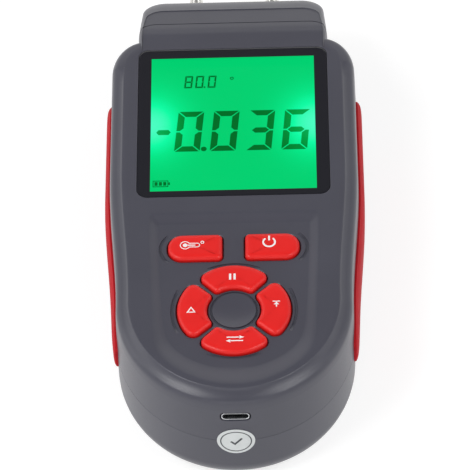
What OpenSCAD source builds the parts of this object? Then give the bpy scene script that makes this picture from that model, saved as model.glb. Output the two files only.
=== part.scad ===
// Handheld digital manometer, lying on its back with the display up.
// X runs across the case, +Y points to the head with the pressure ports, +Z points out of the face.
// The origin is under the middle of the overall length, on the plane that the back rests on.

/* [Case] */
// Length of the case without the ports
case_l = 155; // [152:1:159]
// Thickness of the case
case_t = 36; // [35:0.5:38]
// Height of the parting plane over the back
split_z = 18; // [17:0.5:19]
// Half of the case width at its widest
half_w = 34.9; // [34.5:0.1:36]
// Taper of each side toward the round bottom end
side_taper = 2.4; // [1.5:0.1:2.8]
// Length of the round bottom end
end_l = 35; // [34:0.5:36]
// Length over which the sides widen from the bottom end
taper_l = 48; // [40:1:60]
// Length of the head past the wide part of the case
head_l = 22.6; // [22.2:0.2:23.4]
// Reach of a shoulder corner across the case
shoulder_rx = 10; // [9:0.5:11]
// Reach of a shoulder corner along the case
shoulder_ry = 12; // [11:0.5:13]
// Wall of the shells at the sides
wall = 2.2; // [1.8:0.1:2.4]
// Wall of the shells at the face and the back
face_t = 2.6; // [2.4:0.1:2.8]

/* [Edge band] */
// Width of the scooped band between the face and the side wall
band_w = 4; // [3.6:0.1:4.4]
// Depth of the scooped band where it meets the side wall
band_drop = 6; // [5:0.25:7]
// Radius of the round edge at the back
back_r = 7.5; // [6.5:0.5:8]

/* [Head] */
// Step at each shoulder from the wide case in to the head
head_step = 7.8; // [7.4:0.1:8.3]
// Corner radius of the head in plan
head_corner_r = 9; // [8:0.2:10]
// Fall of the sloped head face, in degrees
head_slope = 19.2; // [18:0.1:20.5]
// Length of the steeper face that ends the head's slope
head_edge_l = 10; // [9:0.25:10.5]
// Width of the round edge along each side of the head
head_edge_w = 2.7; // [2.2:0.1:3]
// Fall of these edges down to the upright walls
head_edge_drop = 5.9; // [5:0.1:6.5]
// Draw of each side of the head toward its end
head_taper = 1.1; // [0.8:0.1:1.4]
// Distance from the head's end back to the parting between the covers
head_split_back = 17.3; // [16.5:0.1:17.6]
// Distance from the head's end back to the crease where its slope begins
crease_back = 21; // [20.6:0.2:21.8]

/* [Display] */
// Distance from the case side in to the display window
window_side = 8.2; // [8.1:0.1:8.5]
// Distance from the bottom end to the lower edge of the window
window_at = 71; // [70.8:0.1:71.5]
// Distance from the top edge of the wide case back to the window
window_back = 6.5; // [6.3:0.1:6.8]
// Thickness of the display window
window_t = 1.45; // [1.3:0.05:1.5]
// Corner radius of the display window
window_r = 3; // [2.5:0.1:3.5]
// Width of the black border at each side of the view
border_side = 3.7; // [3.5:0.1:4]
// Width of the black border at the foot of the view
border_foot = 2.7; // [2.6:0.05:2.9]
// Width of the black border at the head of the view
border_head = 2.5; // [2.3:0.05:2.7]
// Thickness of the LCD cell
glass_t = 2.8; // [2.4:0.1:2.9]
// Thickness of the backlight panel
backlight_t = 3; // [2.6:0.1:3.1]

/* [Keypad] */
// Distance from the bottom end to the middle of the key ring
ring_at = 31; // [30.6:0.1:31.4]
// Depth of the sunk keypad field
field_drop = 1; // [0.8:0.05:1.1]
// Outer reach of the key ring
ring_r = 15.35; // [15:0.05:15.6]
// Radius of the hollow inner edge of the ring keys
ring_inner_r = 7.3; // [7.1:0.05:7.5]
// Radius of the dished disc in the middle
disc_r = 5.9; // [5.5:0.1:6.1]
// Depth of the dish
disc_drop = 0.7; // [0.5:0.05:0.9]
// Rise of the key tops over the face
key_rise = 0.2; // [0.1:0.05:0.4]
// Travel of a key
key_travel = 1; // [0.8:0.05:1]
// Gap round a key in its opening
key_gap = 0.3; // [0.2:0.05:0.35]

/* [Charging socket] */
// Depth of the socket's middle under the face
usb_drop = 8; // [7.8:0.05:8.2]
// Width of the socket's metal shell
usb_w = 7.5; // [7.4:0.05:7.6]
// Height of the socket's metal shell
usb_h = 2.6; // [2.5:0.05:2.7]
// Length of the socket
usb_l = 5.6; // [5:0.1:6]

/* [Ports] */
// Distance from the head's side in to the axis of a port
port_side = 15.9; // [15.7:0.1:16.6]
// Height of the port axes over the back, as a share of the case's thickness
port_share = 0.415; // [0.4:0.005:0.43]
// Reach of the ports past the head
port_reach = 11; // [10:0.25:12]
// Radius of the hose tip of a port
port_tip_r = 2; // [1.9:0.05:2.1]
// Radius over the barbs
port_barb_r = 2.6; // [2.5:0.05:2.8]
// Radius of the threaded body of a port
port_body_r = 3.5; // [3.3:0.05:3.7]
// Bore of a port
port_bore_r = 1.1; // [1:0.05:1.2]

/* [Grips] */
// Distance from the top edge of the wide case back to the upper tip of a grip
grip_back = 12.7; // [11.5:0.1:14]
// Half of the grip height at its middle
grip_half_h = 7.5; // [6.5:0.25:8]
// Rise of the grip over the side wall
grip_rise = 1.6; // [1.3:0.1:1.8]
// Depth of the grip's seat in the wall
grip_seat = 0.9; // [0.7:0.05:1]
// Distance from the bottom end to the lower tip of the grip
grip_at = 27.6; // [26:0.1:29]

/* [Inside] */
// Thickness of the circuit board
board_t = 1.6; // [1.4:0.1:1.7]
// Thickness of the silicone keypad web
web_t = 1.2; // [1:0.1:1.3]
// Height of a keypad dome over the web
dome_h = 2.2; // [2:0.1:2.3]
// Distance from the case side in to the battery
battery_side = 17.9; // [17.5:0.1:20]
// Length of the battery
battery_l = 50; // [46:1:51]
// Thickness of the battery
battery_t = 8; // [6:0.5:9]

/* [Hidden] */
$fn = 48;

// Overrun of a cut past the face that it opens
over = 1;
// Clearance between a piece and its seat
seat_gap = 0.05;
// Clearance round a threaded shank
thread_gap = 0.03;
// Sizes that follow the case
foot_half_w = half_w - side_taper;
head_half_w = half_w - head_step;
body_l = case_l - head_l;
head_split_r = head_l - head_split_back;
window_w = 2*(half_w - window_side);
window_l = body_l - window_at - window_back;
view_w = window_w - 2*border_side;
view_l = window_l - border_foot - border_head;
view_shift = (border_foot - border_head)/2;
usb_z = case_t - usb_drop;
port_pitch = 2*(head_half_w - port_side);
port_z = case_t*port_share;
grip_l = body_l - grip_at - grip_back;
battery_w = 2*(half_w - battery_side);
// Places along the case
y0 = -(case_l + port_reach)/2;
y_end = y0 + case_l;
y_round = y0 + end_l;
y_top = y0 + body_l;
y_shoulder = y_top - shoulder_ry;
y_ring = y0 + ring_at;
y_window = y0 + window_at + window_l/2;
y_crease = y_end - crease_back;
y_split = y_end - head_split_back;
y_head = y_top - back_r - wall;
// Exponent and steps of the round bottom end
end_power = 2.02;
end_steps = 14;
side_steps = 12;
corner_steps = 7;

// Heights through the case
ceiling_z = case_t - face_t;
field_z = case_t - field_drop;
board_top = usb_z - usb_h/2;
board_under = board_top - board_t;
web_top = board_top + web_t;
dome_top = web_top + dome_h;

// Outline of the wide body at the parting plane: right half, from the bottom end to the straight top edge
function side_x(y) = half_w - side_taper*(1 + cos(180*max(0, min(1, (y - y_round)/taper_l))))/2;
body_half = [
    for (i = [0:end_steps]) let (a = 90*i/end_steps)
        [foot_half_w*pow(sin(a), 2/end_power), y_round - end_l*pow(cos(a), 2/end_power)],
    for (i = [1:side_steps]) let (y = y_round + (y_shoulder - y_round)*i/side_steps)
        [side_x(y), y],
    for (i = [1:corner_steps]) let (a = 90*i/corner_steps)
        [half_w - shoulder_rx*(1 - cos(a)), y_shoulder + shoulder_ry*sin(a)]
];

// Outline of the head: right half, from its root in the body to its straight end
function head_line(w, end, r) = [
    [w, y_head],
    [w, y_crease],
    [w - head_taper, end - r],
    for (i = [1:corner_steps]) let (a = 90*i/corner_steps)
        [w - head_taper - r*(1 - cos(a)), end - r*(1 - sin(a))]
];
head_half = head_line(head_half_w, y_end, head_corner_r);
// Outline of the sloped face on top of it, where the edges begin to fall
head_top_half = head_line(head_half_w - head_edge_w, y_end - head_edge_l, head_corner_r - head_edge_w);

// Outward normals of a half outline whose first and last directions are given
function half_normals(h, first, last) = [
    for (i = [0:len(h) - 1])
        i == 0 ? first : i == len(h) - 1 ? last
        : let (t = h[i + 1] - h[i - 1]) [t[1], -t[0]]/norm(t)
];
body_normal = half_normals(body_half, [0, -1], [0, 1]);
head_normal = half_normals(head_half, [1, 0], [0, 1]);

// A ring goes up the right half of an outline and down the mirrored left half
function both_sides(right) = [
    for (p = right) p,
    for (i = [len(right) - 1:-1:0]) if (right[i][0] > 0) [-right[i][0], right[i][1], right[i][2]]
];
function ring_faces(n, rows) = [
    for (k = [0:rows - 2]) for (i = [0:n - 1])
        let (a = k*n + i, b = k*n + (i + 1) % n) each [[a, b, b + n], [a, b + n, a + n]]
];
// A cap is a ladder between the two halves. An odd ring starts with a point on the middle line.
function partner(i, n) = n % 2 == 1 ? (n - i) % n : n - 1 - i;
function ladder(n, base, below) = [
    for (i = [0:floor((n - 1)/2) - 1])
        let (a = i, b = i + 1, c = partner(b, n), d = partner(a, n))
        each [
            if (c != b) below ? [base + a, base + b, base + c] : [base + a, base + c, base + b],
            if (d != a) below ? [base + a, base + c, base + d] : [base + a, base + d, base + c]
        ]
];

// Closed solid through rings that run from the top down
module ring_stack(rings) {
    n = len(rings[0]);
    polyhedron(
        points = [for (r = rings) each r],
        faces = concat(
            ladder(n, 0, false),
            ladder(n, n*(len(rings) - 1), true),
            ring_faces(n, len(rings))
        )
    );
}

function smooth(t) = let (u = max(0, min(1, t))) u*u*(3 - 2*u);

// Share of the band's width and drop, from the face out to the side wall, in the scoop and on the shoulders
scoop_shares = [[1, 0], [0.86, 0.13], [0.66, 0.24], [0.44, 0.33], [0.27, 0.43], [0.15, 0.6], [0.09, 1]];
shoulder_shares = [[1.1, 0], [0.76, 0.06], [0.5, 0.15], [0.32, 0.28], [0.2, 0.44], [0.13, 0.64], [0.09, 1]];
// The scoop runs out into the shoulders over this length
scoop_end_back = 16;
scoop_end_l = 5;

function body_ring(inset, z) = both_sides([
    for (i = [0:len(body_half) - 1]) let (p = body_half[i] - inset*body_normal[i]) [max(0, p[0]), p[1], z]
]);
function band_ring(k) = both_sides([
    for (i = [0:len(body_half) - 1])
        let (
            s = smooth((body_half[i][1] - y_top + scoop_end_back)/scoop_end_l),
            share = scoop_shares[k]*(1 - s) + shoulder_shares[k]*s,
            p = body_half[i] - share[0]*band_w*body_normal[i]
        )
        [max(0, p[0]), p[1], case_t - share[1]*band_drop]
]);
back_steps = 4;
floor_inset_share = 0.7;
function back_inset(i) = back_r*(1 - sin(90*i/back_steps));
function back_height(i) = back_r*(1 - cos(90*i/back_steps));

module body_front() {
    ring_stack([for (k = [0:len(scoop_shares) - 1]) band_ring(k), body_ring(0, split_z)]);
}

module body_rear() {
    ring_stack([body_ring(0, split_z), for (i = [back_steps:-1:0]) body_ring(back_inset(i), back_height(i))]);
}

// Rebate and tongue that locate the covers on each other
lip_h = 1.2;
lip_gap = 0.1;
module body_front_cavity() {
    ring_stack([
        body_ring(band_w + wall, ceiling_z),
        body_ring(band_w, ceiling_z - wall/3),
        body_ring(wall + wall/4, ceiling_z - wall),
        body_ring(wall, split_z + lip_h),
        body_ring(wall/2, split_z + lip_h),
        body_ring(wall/2, split_z - over)
    ]);
}

module body_rear_cavity() {
    ring_stack([
        body_ring(wall, split_z + lip_h + over),
        body_ring(wall, back_r + face_t/2),
        body_ring(back_r*floor_inset_share, face_t)
    ]);
}

module body_tongue() {
    ring_stack([
        body_ring(wall/2 + lip_gap, split_z + lip_h - lip_gap),
        body_ring(wall/2 + lip_gap, split_z - over)
    ]);
}

// The head falls away from its crease at the slope angle
function slope_z(y) = -max(0, y - y_crease)*tan(head_slope);
function head_ring(share, inset, drop) = both_sides([
    for (i = [0:len(head_half) - 1])
        let (
            edge = head_half[i] + (head_top_half[i] - head_half[i])*share,
            p = edge - inset*head_normal[i],
            y = i == 0 ? y_head : p[1]
        )
        [max(0, p[0]), y, case_t + slope_z(y) - drop]
]);
function head_level(inset, z) = both_sides([
    for (i = [0:len(head_half) - 1])
        let (p = head_half[i] - inset*head_normal[i]) [max(0, p[0]), i == 0 ? y_head : p[1], z]
]);
// Share of the way in to the sloped face, and of the fall, from that face out to the upright walls
head_shares = [[1, 0], [0.33, 0.3], [0.14, 0.5], [0.03, 0.76], [0, 1]];
module head_form() {
    ring_stack([
        for (s = head_shares) head_ring(s[0], 0, s[1]*head_edge_drop),
        for (i = [back_steps:-1:0]) head_level(back_inset(i), back_height(i))
    ]);
}

head_wall = 2.4;
module head_cavity() {
    ring_stack([
        head_ring(1, head_wall, head_wall + wall/4),
        head_ring(head_shares[1][0], head_wall, head_shares[1][1]*head_edge_drop + head_wall + wall/4),
        head_ring(0, head_wall, head_edge_drop + wall/4),
        head_level(head_wall, back_r),
        head_level(back_r*floor_inset_share, face_t)
    ]);
}

// Plan of the front cover's share of the head
module head_front_plan() {
    straight = y_split - head_split_r;
    translate([-head_half_w, y_head - over]) square([2*head_half_w, straight - y_head + over]);
    translate([-(head_half_w - head_split_r), y_head - over])
        square([2*(head_half_w - head_split_r), y_split - y_head + over]);
    for (s = [-1, 1]) translate([s*(head_half_w - head_split_r), straight]) circle(r = head_split_r);
}

// A rounded rectangle, and the slab under it
module round_rect(w, l, r) {
    square([w - 2*r, l], center = true);
    square([w, l - 2*r], center = true);
    for (x = [-1, 1]) for (y = [-1, 1]) translate([x*(w/2 - r), y*(l/2 - r)]) circle(r = r);
}
module slab(w, l, r, z, h) {
    translate([0, 0, z]) linear_extrude(height = h) round_rect(w, l, r);
}

// Keypad field: sloped sides that follow the case, and a sloped top end
field_top_inset = 6.2;
field_floor_inset = 10.7;
field_gap = 4;
field_slope_l = 4.5;
field_top_at = window_at - field_gap;
field_floor_at = field_top_at - field_slope_l;
function field_ring(share, z) = let (
        inset = field_floor_inset + (field_top_inset - field_floor_inset)*share,
        end = y0 + field_floor_at + (field_top_at - field_floor_at)*share,
        lower = [for (i = [0:len(body_half) - 1]) if (body_half[i][1] < y0 + field_floor_at - band_w) i]
    )
    both_sides([
        for (i = lower) let (p = body_half[i] - inset*body_normal[i]) [max(0, p[0]), p[1], z],
        [side_x(end) - inset, end, z]
    ]);
module keypad_field() {
    ring_stack([field_ring(1 + over/2/field_drop, case_t + over/2), field_ring(0, field_z)]);
}

// Ring keys: arcs about fixed centres, so that an outline grows by growing its radii
key_outer_r = 13.2;
key_tip_r = 2.2;
key_root_r = 1.3;
key_flank = 47;
key_flank_x = 5.6;
key_flank_y = 6.6;
flank_dir = [cos(key_flank), sin(key_flank)];
flank_normal = [sin(key_flank), -cos(key_flank)];
outer_centre = [0, ring_r - key_outer_r];
function on_circle(p, d, c, r) = let (
        q = p - c,
        b = q*d,
        k = b*b - q*q + r*r
    ) p + d*(sqrt(k) - b);
flank_point = [key_flank_x, key_flank_y];
tip_centre = on_circle(
    flank_point - flank_normal*key_tip_r, flank_dir, outer_centre, key_outer_r - key_tip_r
);
root_centre = on_circle(
    flank_point - flank_normal*key_root_r, flank_dir, [0, 0], ring_inner_r + key_root_r
);
function turn_of(v) = atan2(v[1], v[0]);
function arc(c, r, a, b, n) = [for (i = [0:n]) let (t = a + (b - a)*i/n) c + r*[cos(t), sin(t)]];
tip_turn = turn_of(tip_centre - outer_centre);
flank_turn = turn_of(flank_normal);
root_turn = turn_of(-root_centre);
// Turns by which two arcs start past the end of the one before
tip_skip = 9;
root_skip = 6;
function ring_key_half(grow) = concat(
    arc(outer_centre, key_outer_r + grow, 90, tip_turn, 6),
    arc(tip_centre, key_tip_r + grow, tip_turn - tip_skip, flank_turn, 4),
    arc(root_centre, key_root_r + grow, flank_turn, root_turn, 4),
    arc([0, 0], ring_inner_r - grow, turn_of(root_centre) + root_skip, 90, 4)
);
function mirrored(h) = [for (i = [len(h) - 2:-1:1]) [-h[i][0], h[i][1]]];
function ring_key_outline(grow) = concat(ring_key_half(grow), mirrored(ring_key_half(grow)));

// Upper keys: a full round outer end and small inner corners
key_w = 14.8;
key_l = 8.8;
key_x = 10.5;
key_y_at = 52.9;
key_end_r = 4;
key_corner_r = 1.4;
function upper_key_outline(grow) = concat(
    arc([key_w/2 - key_end_r, key_l/2 - key_end_r], key_end_r + grow, 90, 0, 5),
    arc([key_w/2 - key_end_r, key_end_r - key_l/2], key_end_r + grow, 0, -90, 5),
    arc([key_corner_r - key_w/2, key_corner_r - key_l/2], key_corner_r + grow, -90, -180, 3),
    arc([key_corner_r - key_w/2, key_l/2 - key_corner_r], key_corner_r + grow, 180, 90, 3)
);

// Stack of key outlines, closed by a fan about the key's own middle
module key_stack(outlines, heights, middle) {
    n = len(outlines[0]);
    rows = len(outlines);
    pts = concat(
        [for (k = [0:rows - 1]) for (p = outlines[k]) [p[0], p[1], heights[k]]],
        [[middle[0], middle[1], heights[0]], [middle[0], middle[1], heights[rows - 1]]]
    );
    faces = concat(
        ring_faces(n, rows),
        [for (i = [0:n - 1]) [n*rows, (i + 1) % n, i]],
        [for (i = [0:n - 1]) [n*rows + 1, n*(rows - 1) + i, n*(rows - 1) + (i + 1) % n]]
    );
    polyhedron(points = pts, faces = faces);
}

key_round = 1.1;
flange_w = 0.5;
flange_t = 1.2;
flange_z = ceiling_z - flange_t;
key_top_z = case_t + key_rise;
key_foot_r = 3.2;
key_grows = [flange_w, flange_w, 0, 0, -key_round*0.22, -key_round*0.6, -key_round];
key_heights = [
    flange_z, ceiling_z - seat_gap, ceiling_z - seat_gap, key_top_z - key_round*0.85,
    key_top_z - key_round*0.35, key_top_z - key_round*0.1, key_top_z
];
ring_key_mid = (ring_r + ring_inner_r)/2;

module key_foot(x, y) {
    translate([x, y, dome_top]) cylinder(r = key_foot_r, h = flange_z + flange_t/2 - dome_top);
}
module ring_key(turn) {
    translate([0, y_ring, 0]) rotate([0, 0, turn]) {
        key_stack([for (g = key_grows) ring_key_outline(g)], key_heights, [0, ring_key_mid]);
        key_foot(0, ring_key_mid);
    }
}
module upper_key(side) {
    translate([0, y0 + key_y_at, 0]) mirror([side < 0 ? 1 : 0, 0, 0]) translate([key_x, 0, 0]) {
        key_stack([for (g = key_grows) upper_key_outline(g)], key_heights, [0, 0]);
        key_foot(0, 0);
    }
}
module dome_at(x, y) {
    base_r = 4.9;
    top_r = 3.5;
    skin = 0.5;
    translate([x, y, web_top]) rotate_extrude()
        polygon([
            [base_r - skin, 0], [base_r, 0], [top_r, dome_h - skin], [top_r, dome_h],
            [0, dome_h], [0, dome_h - skin], [top_r - skin, dome_h - skin]
        ]);
}
function ring_spot(turn) = [-ring_key_mid*sin(turn), y_ring + ring_key_mid*cos(turn)];
function upper_spot(side) = [side*key_x, y0 + key_y_at];
key_spots = [upper_spot(-1), upper_spot(1), ring_spot(0), ring_spot(90), ring_spot(-90), ring_spot(180)];

module key_openings() {
    translate([0, 0, ceiling_z - over]) linear_extrude(height = field_drop + face_t + over) {
        for (turn = [0, 90, 180, 270]) translate([0, y_ring]) rotate([0, 0, turn])
            polygon(ring_key_outline(key_gap));
        for (side = [-1, 1]) translate([0, y0 + key_y_at]) mirror([side < 0 ? 1 : 0, 0])
            translate([key_x, 0]) polygon(upper_key_outline(key_gap));
    }
}

// Screws: the case screws come in from the back, the board screws from under the board
case_screw_r = 1.5;
case_screw_head_r = 2.3;
case_screw_head_h = 2;
case_screw_l = 15;
case_head_z = 7;
case_boss_r = 2.9;
case_column_r = 3.6;
// Case screws: distance in from the head's side and end, and share of the width and distance at the foot
head_spot_side = 7.6;
head_spot_back = 22.6;
foot_spot_share = 0.46;
foot_spot_at = 13;
function pair(x, at) = [[-x, at], [x, at]];
case_spots = concat(
    pair(head_half_w - head_spot_side, case_l - head_spot_back),
    pair(foot_half_w*foot_spot_share, foot_spot_at)
);
board_screw_r = 1.2;
board_screw_head_r = 2.3;
board_screw_head_h = 1.5;
board_screw_l = 6;
board_boss_r = 2.4;
board_spot_side = 7.6;
board_spot_gap = 5;
foot_board_share = 0.245;
foot_board_at = 9;
board_spots = concat(
    pair(half_w - board_spot_side, window_at - board_spot_gap),
    pair(foot_half_w*foot_board_share, foot_board_at)
);

module screw(r, head_r, head_h, l) {
    cylinder(r = head_r, h = head_h);
    translate([0, 0, head_h - seat_gap]) cylinder(r = r, h = l + seat_gap);
}

module dish() {
    dish_r = (disc_r*disc_r + disc_drop*disc_drop)/(2*disc_drop);
    translate([0, y_ring, field_z + dish_r - disc_drop]) sphere(r = dish_r);
}
groove_w = 0.5;
groove_drop = 0.4;
module disc_groove() {
    translate([0, y_ring, field_z - groove_drop]) rotate_extrude()
        translate([disc_r + groove_w/4, 0]) square([groove_w, groove_drop + over]);
}

// Seats for the side grips, which are also the grips with their clearance taken off
function grip_share(t) = pow(max(0, 1 - pow(abs(2*t - 1), 2.6)), 0.62);
grip_steps = 22;
function grip_ring(t, gap) = let (
        y = y0 + grip_at + grip_l*t,
        s = max(0.03, grip_share(t)),
        h = grip_half_h*s + gap,
        rise = grip_rise*min(1, 0.25 + s),
        x = side_x(y)
    ) [
        [x - grip_seat - gap, y, split_z + h], [x - grip_seat - gap, y, split_z - h],
        [x + rise*0.2, y, split_z - h], [x + rise*0.8, y, split_z - h*0.72], [x + rise, y, split_z - h*0.35],
        [x + rise, y, split_z + h*0.35], [x + rise*0.8, y, split_z + h*0.72], [x + rise*0.2, y, split_z + h]
    ];
module grip_form(gap) {
    rings = [for (i = [0:grip_steps]) grip_ring(i/grip_steps, gap)];
    n = len(rings[0]);
    pts = [for (r = rings) each r];
    last = n*grip_steps;
    polyhedron(points = pts, faces = concat(
        [for (f = ring_faces(n, grip_steps + 1)) f],
        [for (i = [1:n - 2]) [0, i + 1, i]],
        [for (i = [1:n - 2]) [last, last + i, last + i + 1]]
    ));
}

// Fine arcs engraved in the keypad field outside the keys
arc_w = 0.5;
arc_drop = 0.25;
ring_arc_r = 16.1;
ring_arc_shift = 0.7;
ring_arc_half = 27;
end_arc_r = 6.2;
end_arc_half = 52;
module engraved_arc(r, half) {
    rotate([0, 0, -half]) rotate_extrude(angle = 2*half)
        translate([r - arc_w/2, 0]) square([arc_w, arc_drop + over]);
}
module key_arcs() {
    translate([0, y_ring, field_z - arc_drop]) for (turn = [0, 90, 180, 270]) rotate([0, 0, turn])
        translate([ring_arc_shift, 0, 0]) engraved_arc(ring_arc_r, ring_arc_half);
    for (s = [0, 1]) mirror([s, 0, 0])
        translate([key_x + key_w/2 - key_end_r, y0 + key_y_at, field_z - arc_drop])
            engraved_arc(end_arc_r, end_arc_half);
}

// Slot in the bottom end for the charging socket
slot_gap = 0.35;
slot_r = 1.3;
module usb_slot() {
    translate([0, y0 - over, usb_z]) rotate([-90, 0, 0])
        linear_extrude(height = end_l/4) round_rect(usb_w + 2*slot_gap, usb_h + 2*slot_gap, slot_r);
}

module front_cover() {
    color("dimgray")
    difference() {
        union() {
            difference() {
                union() {
                    body_front();
                    intersection() {
                        head_form();
                        translate([0, 0, split_z]) linear_extrude(height = case_t) head_front_plan();
                    }
                }
                body_front_cavity();
                head_cavity();
            }
            for (p = case_spots) translate([p[0], y0 + p[1], split_z])
                cylinder(r = case_boss_r, h = ceiling_z - split_z + seat_gap);
            for (p = board_spots) translate([p[0], y0 + p[1], board_top])
                cylinder(r = board_boss_r, h = ceiling_z - board_top + seat_gap);
        }
        for (p = case_spots) translate([p[0], y0 + p[1], split_z - over])
            cylinder(r = case_screw_r + thread_gap, h = case_head_z + case_screw_l - split_z + 2*over);
        for (p = board_spots) translate([p[0], y0 + p[1], board_top - over])
            cylinder(r = board_screw_r + thread_gap, h = board_screw_l - board_t + 2*over);
        keypad_field();
        key_openings();
        dish();
        disc_groove();
        key_arcs();
        translate([0, y_window, 0]) slab(
            window_w + 2*seat_gap, window_l + 2*seat_gap, window_r,
            case_t - window_t - seat_gap, window_t + over
        );
        translate([0, y_window + view_shift, 0])
            slab(view_w + view_gap, view_l + 2*view_gap, window_r/3, ceiling_z - over, face_t + over);
        usb_slot();
        lcd_pocket();
        for (s = [0, 1]) mirror([s, 0, 0]) grip_form(seat_gap);
    }
}
// The ledge under the window stays clear of the view
view_gap = 1.3;

module rear_cover() {
    color("dimgray")
    difference() {
        union() {
            difference() {
                union() {
                    body_rear();
                    body_tongue();
                    difference() {
                        head_form();
                        translate([0, 0, split_z]) linear_extrude(height = case_t) head_front_plan();
                    }
                }
                body_rear_cavity();
                head_cavity();
            }
            for (p = case_spots) translate([p[0], y0 + p[1], face_t/2])
                cylinder(r = case_column_r, h = split_z - face_t/2 - seat_gap);
            battery_ribs();
        }
        for (p = case_spots) translate([p[0], y0 + p[1], -over]) {
            cylinder(r = case_screw_head_r + 2*lip_gap, h = case_head_z + case_screw_head_h + over);
            cylinder(r = case_screw_r + 2*lip_gap, h = split_z + 2*over);
        }
        for (s = [-1, 1]) translate([s*port_pitch/2, y_end + over, port_z]) rotate([90, 0, 0])
            cylinder(r = port_body_r + seat_gap, h = head_wall + 2*over);
        for (s = [0, 1]) mirror([s, 0, 0]) grip_form(seat_gap);
    }
}

rib_t = 1.4;
battery_at = 44;
pad_t = 1;
module battery_ribs() {
    for (s = [-1, 1]) translate([0, y0 + battery_at + s*(battery_l/2 + rib_t), (face_t + battery_t)/2])
        cube([battery_w, rib_t, battery_t], center = true);
}

module left_grip() {
    color("firebrick") mirror([1, 0, 0]) grip_form(0);
}
module right_grip() {
    color("firebrick") grip_form(0);
}

module display_window() {
    color("black") translate([0, y_window, 0])
        slab(window_w, window_l, window_r, case_t - window_t - seat_gap/2, window_t);
}

// LCD stack on the board: contact strip and backlight below, the cell above, the holder round them
glass_side = 1.8;
glass_end = 2.15;
glass_w = view_w + 2*glass_side;
glass_l = view_l + 2*glass_end;
frame_rim = 1.3;
lip_t = 0.55;
pocket_drop = 0.2;
lcd_top = ceiling_z + pocket_drop - lip_t - 2*seat_gap;
module lcd_pocket() {
    translate([0, y_window + view_shift, (board_top + ceiling_z + pocket_drop)/2])
        cube([glass_w + 2*frame_rim + 2*seat_gap, glass_l + 2*frame_rim + 2*seat_gap,
            ceiling_z + pocket_drop - board_top], center = true);
}
strip_l = 2;
module lcd_glass() {
    color("limegreen") translate([0, y_window + view_shift, lcd_top - glass_t/2])
        cube([glass_w, glass_l, glass_t], center = true);
}
module backlight_panel() {
    z = lcd_top - glass_t - seat_gap - backlight_t/2;
    color("white") translate([0, y_window + view_shift + strip_l/2 + seat_gap, z])
        cube([glass_w, glass_l - strip_l - 2*seat_gap, backlight_t], center = true);
}
module zebra_strip() {
    h = lcd_top - glass_t - board_top - seat_gap;
    y = y_window + view_shift - glass_l/2 + strip_l/2;
    color("dimgray") translate([0, y, board_top + seat_gap/2 + h/2])
        cube([glass_w - strip_l, strip_l - seat_gap, h], center = true);
}
module lcd_frame() {
    h = ceiling_z + pocket_drop - seat_gap - board_top;
    room = lcd_top - board_top + seat_gap;
    color("white") translate([0, y_window + view_shift, board_top]) difference() {
        translate([0, 0, h/2]) cube([glass_w + 2*frame_rim, glass_l + 2*frame_rim, h], center = true);
        translate([0, 0, (room - over)/2])
            cube([glass_w + 2*seat_gap, glass_l + 2*seat_gap, room + over], center = true);
        translate([0, 0, h/2])
            cube([view_w + view_gap, view_l + 2*view_gap, h + 2*over], center = true);
    }
}

board_inset = 5.2;
board_end_back = 4.5;
board_plan = [
    for (i = [0:len(body_half) - 1]) let (p = body_half[i] - board_inset*body_normal[i])
        if (p[1] < y_top - board_end_back) [max(0, p[0]), p[1]]
];
board_tab_w = 9;
board_tab_at = 3;
module main_board() {
    color("darkgreen") translate([0, 0, board_under]) difference() {
        linear_extrude(height = board_t) {
            polygon(concat(
                board_plan,
                [for (i = [len(board_plan) - 1:-1:1]) [-board_plan[i][0], board_plan[i][1]]]
            ));
            translate([-board_tab_w/2, y0 + board_tab_at]) square([board_tab_w, end_l/2]);
        }
        for (p = case_spots) translate([p[0], y0 + p[1], -over])
            cylinder(r = case_boss_r + 2*lip_gap, h = board_t + 2*over);
        for (p = board_spots) translate([p[0], y0 + p[1], -over])
            cylinder(r = board_screw_r + lip_gap, h = board_t + 2*over);
    }
}

module keypad_sheet() {
    sheet_w = 40;
    sheet_l = 48;
    sheet_up = 5;
    sheet_r = 5;
    hole_r = 4.2;
    color("firebrick") difference() {
        translate([0, y_ring + sheet_up, 0])
            slab(sheet_w, sheet_l, sheet_r, board_top, web_t);
        for (p = key_spots) translate([p[0], p[1], board_top - over])
            cylinder(r = hole_r, h = web_t + 2*over);
        for (p = board_spots) translate([p[0], y0 + p[1], board_top - over])
            cylinder(r = board_boss_r + 2*lip_gap, h = web_t + 2*over);
        for (p = case_spots) translate([p[0], y0 + p[1], board_top - over])
            cylinder(r = case_boss_r + 2*lip_gap, h = web_t + 2*over);
    }
}

module temperature_key() { color("red") upper_key(-1); }
module power_key() { color("red") upper_key(1); }
module hold_key() { color("red") ring_key(0); }
module difference_key() { color("red") ring_key(90); }
module maximum_key() { color("red") ring_key(-90); }
module units_key() { color("red") ring_key(180); }
module temperature_dome() { color("firebrick") dome_at(key_spots[0][0], key_spots[0][1]); }
module power_dome() { color("firebrick") dome_at(key_spots[1][0], key_spots[1][1]); }
module hold_dome() { color("firebrick") dome_at(key_spots[2][0], key_spots[2][1]); }
module difference_dome() { color("firebrick") dome_at(key_spots[3][0], key_spots[3][1]); }
module maximum_dome() { color("firebrick") dome_at(key_spots[4][0], key_spots[4][1]); }
module units_dome() { color("firebrick") dome_at(key_spots[5][0], key_spots[5][1]); }

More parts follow.
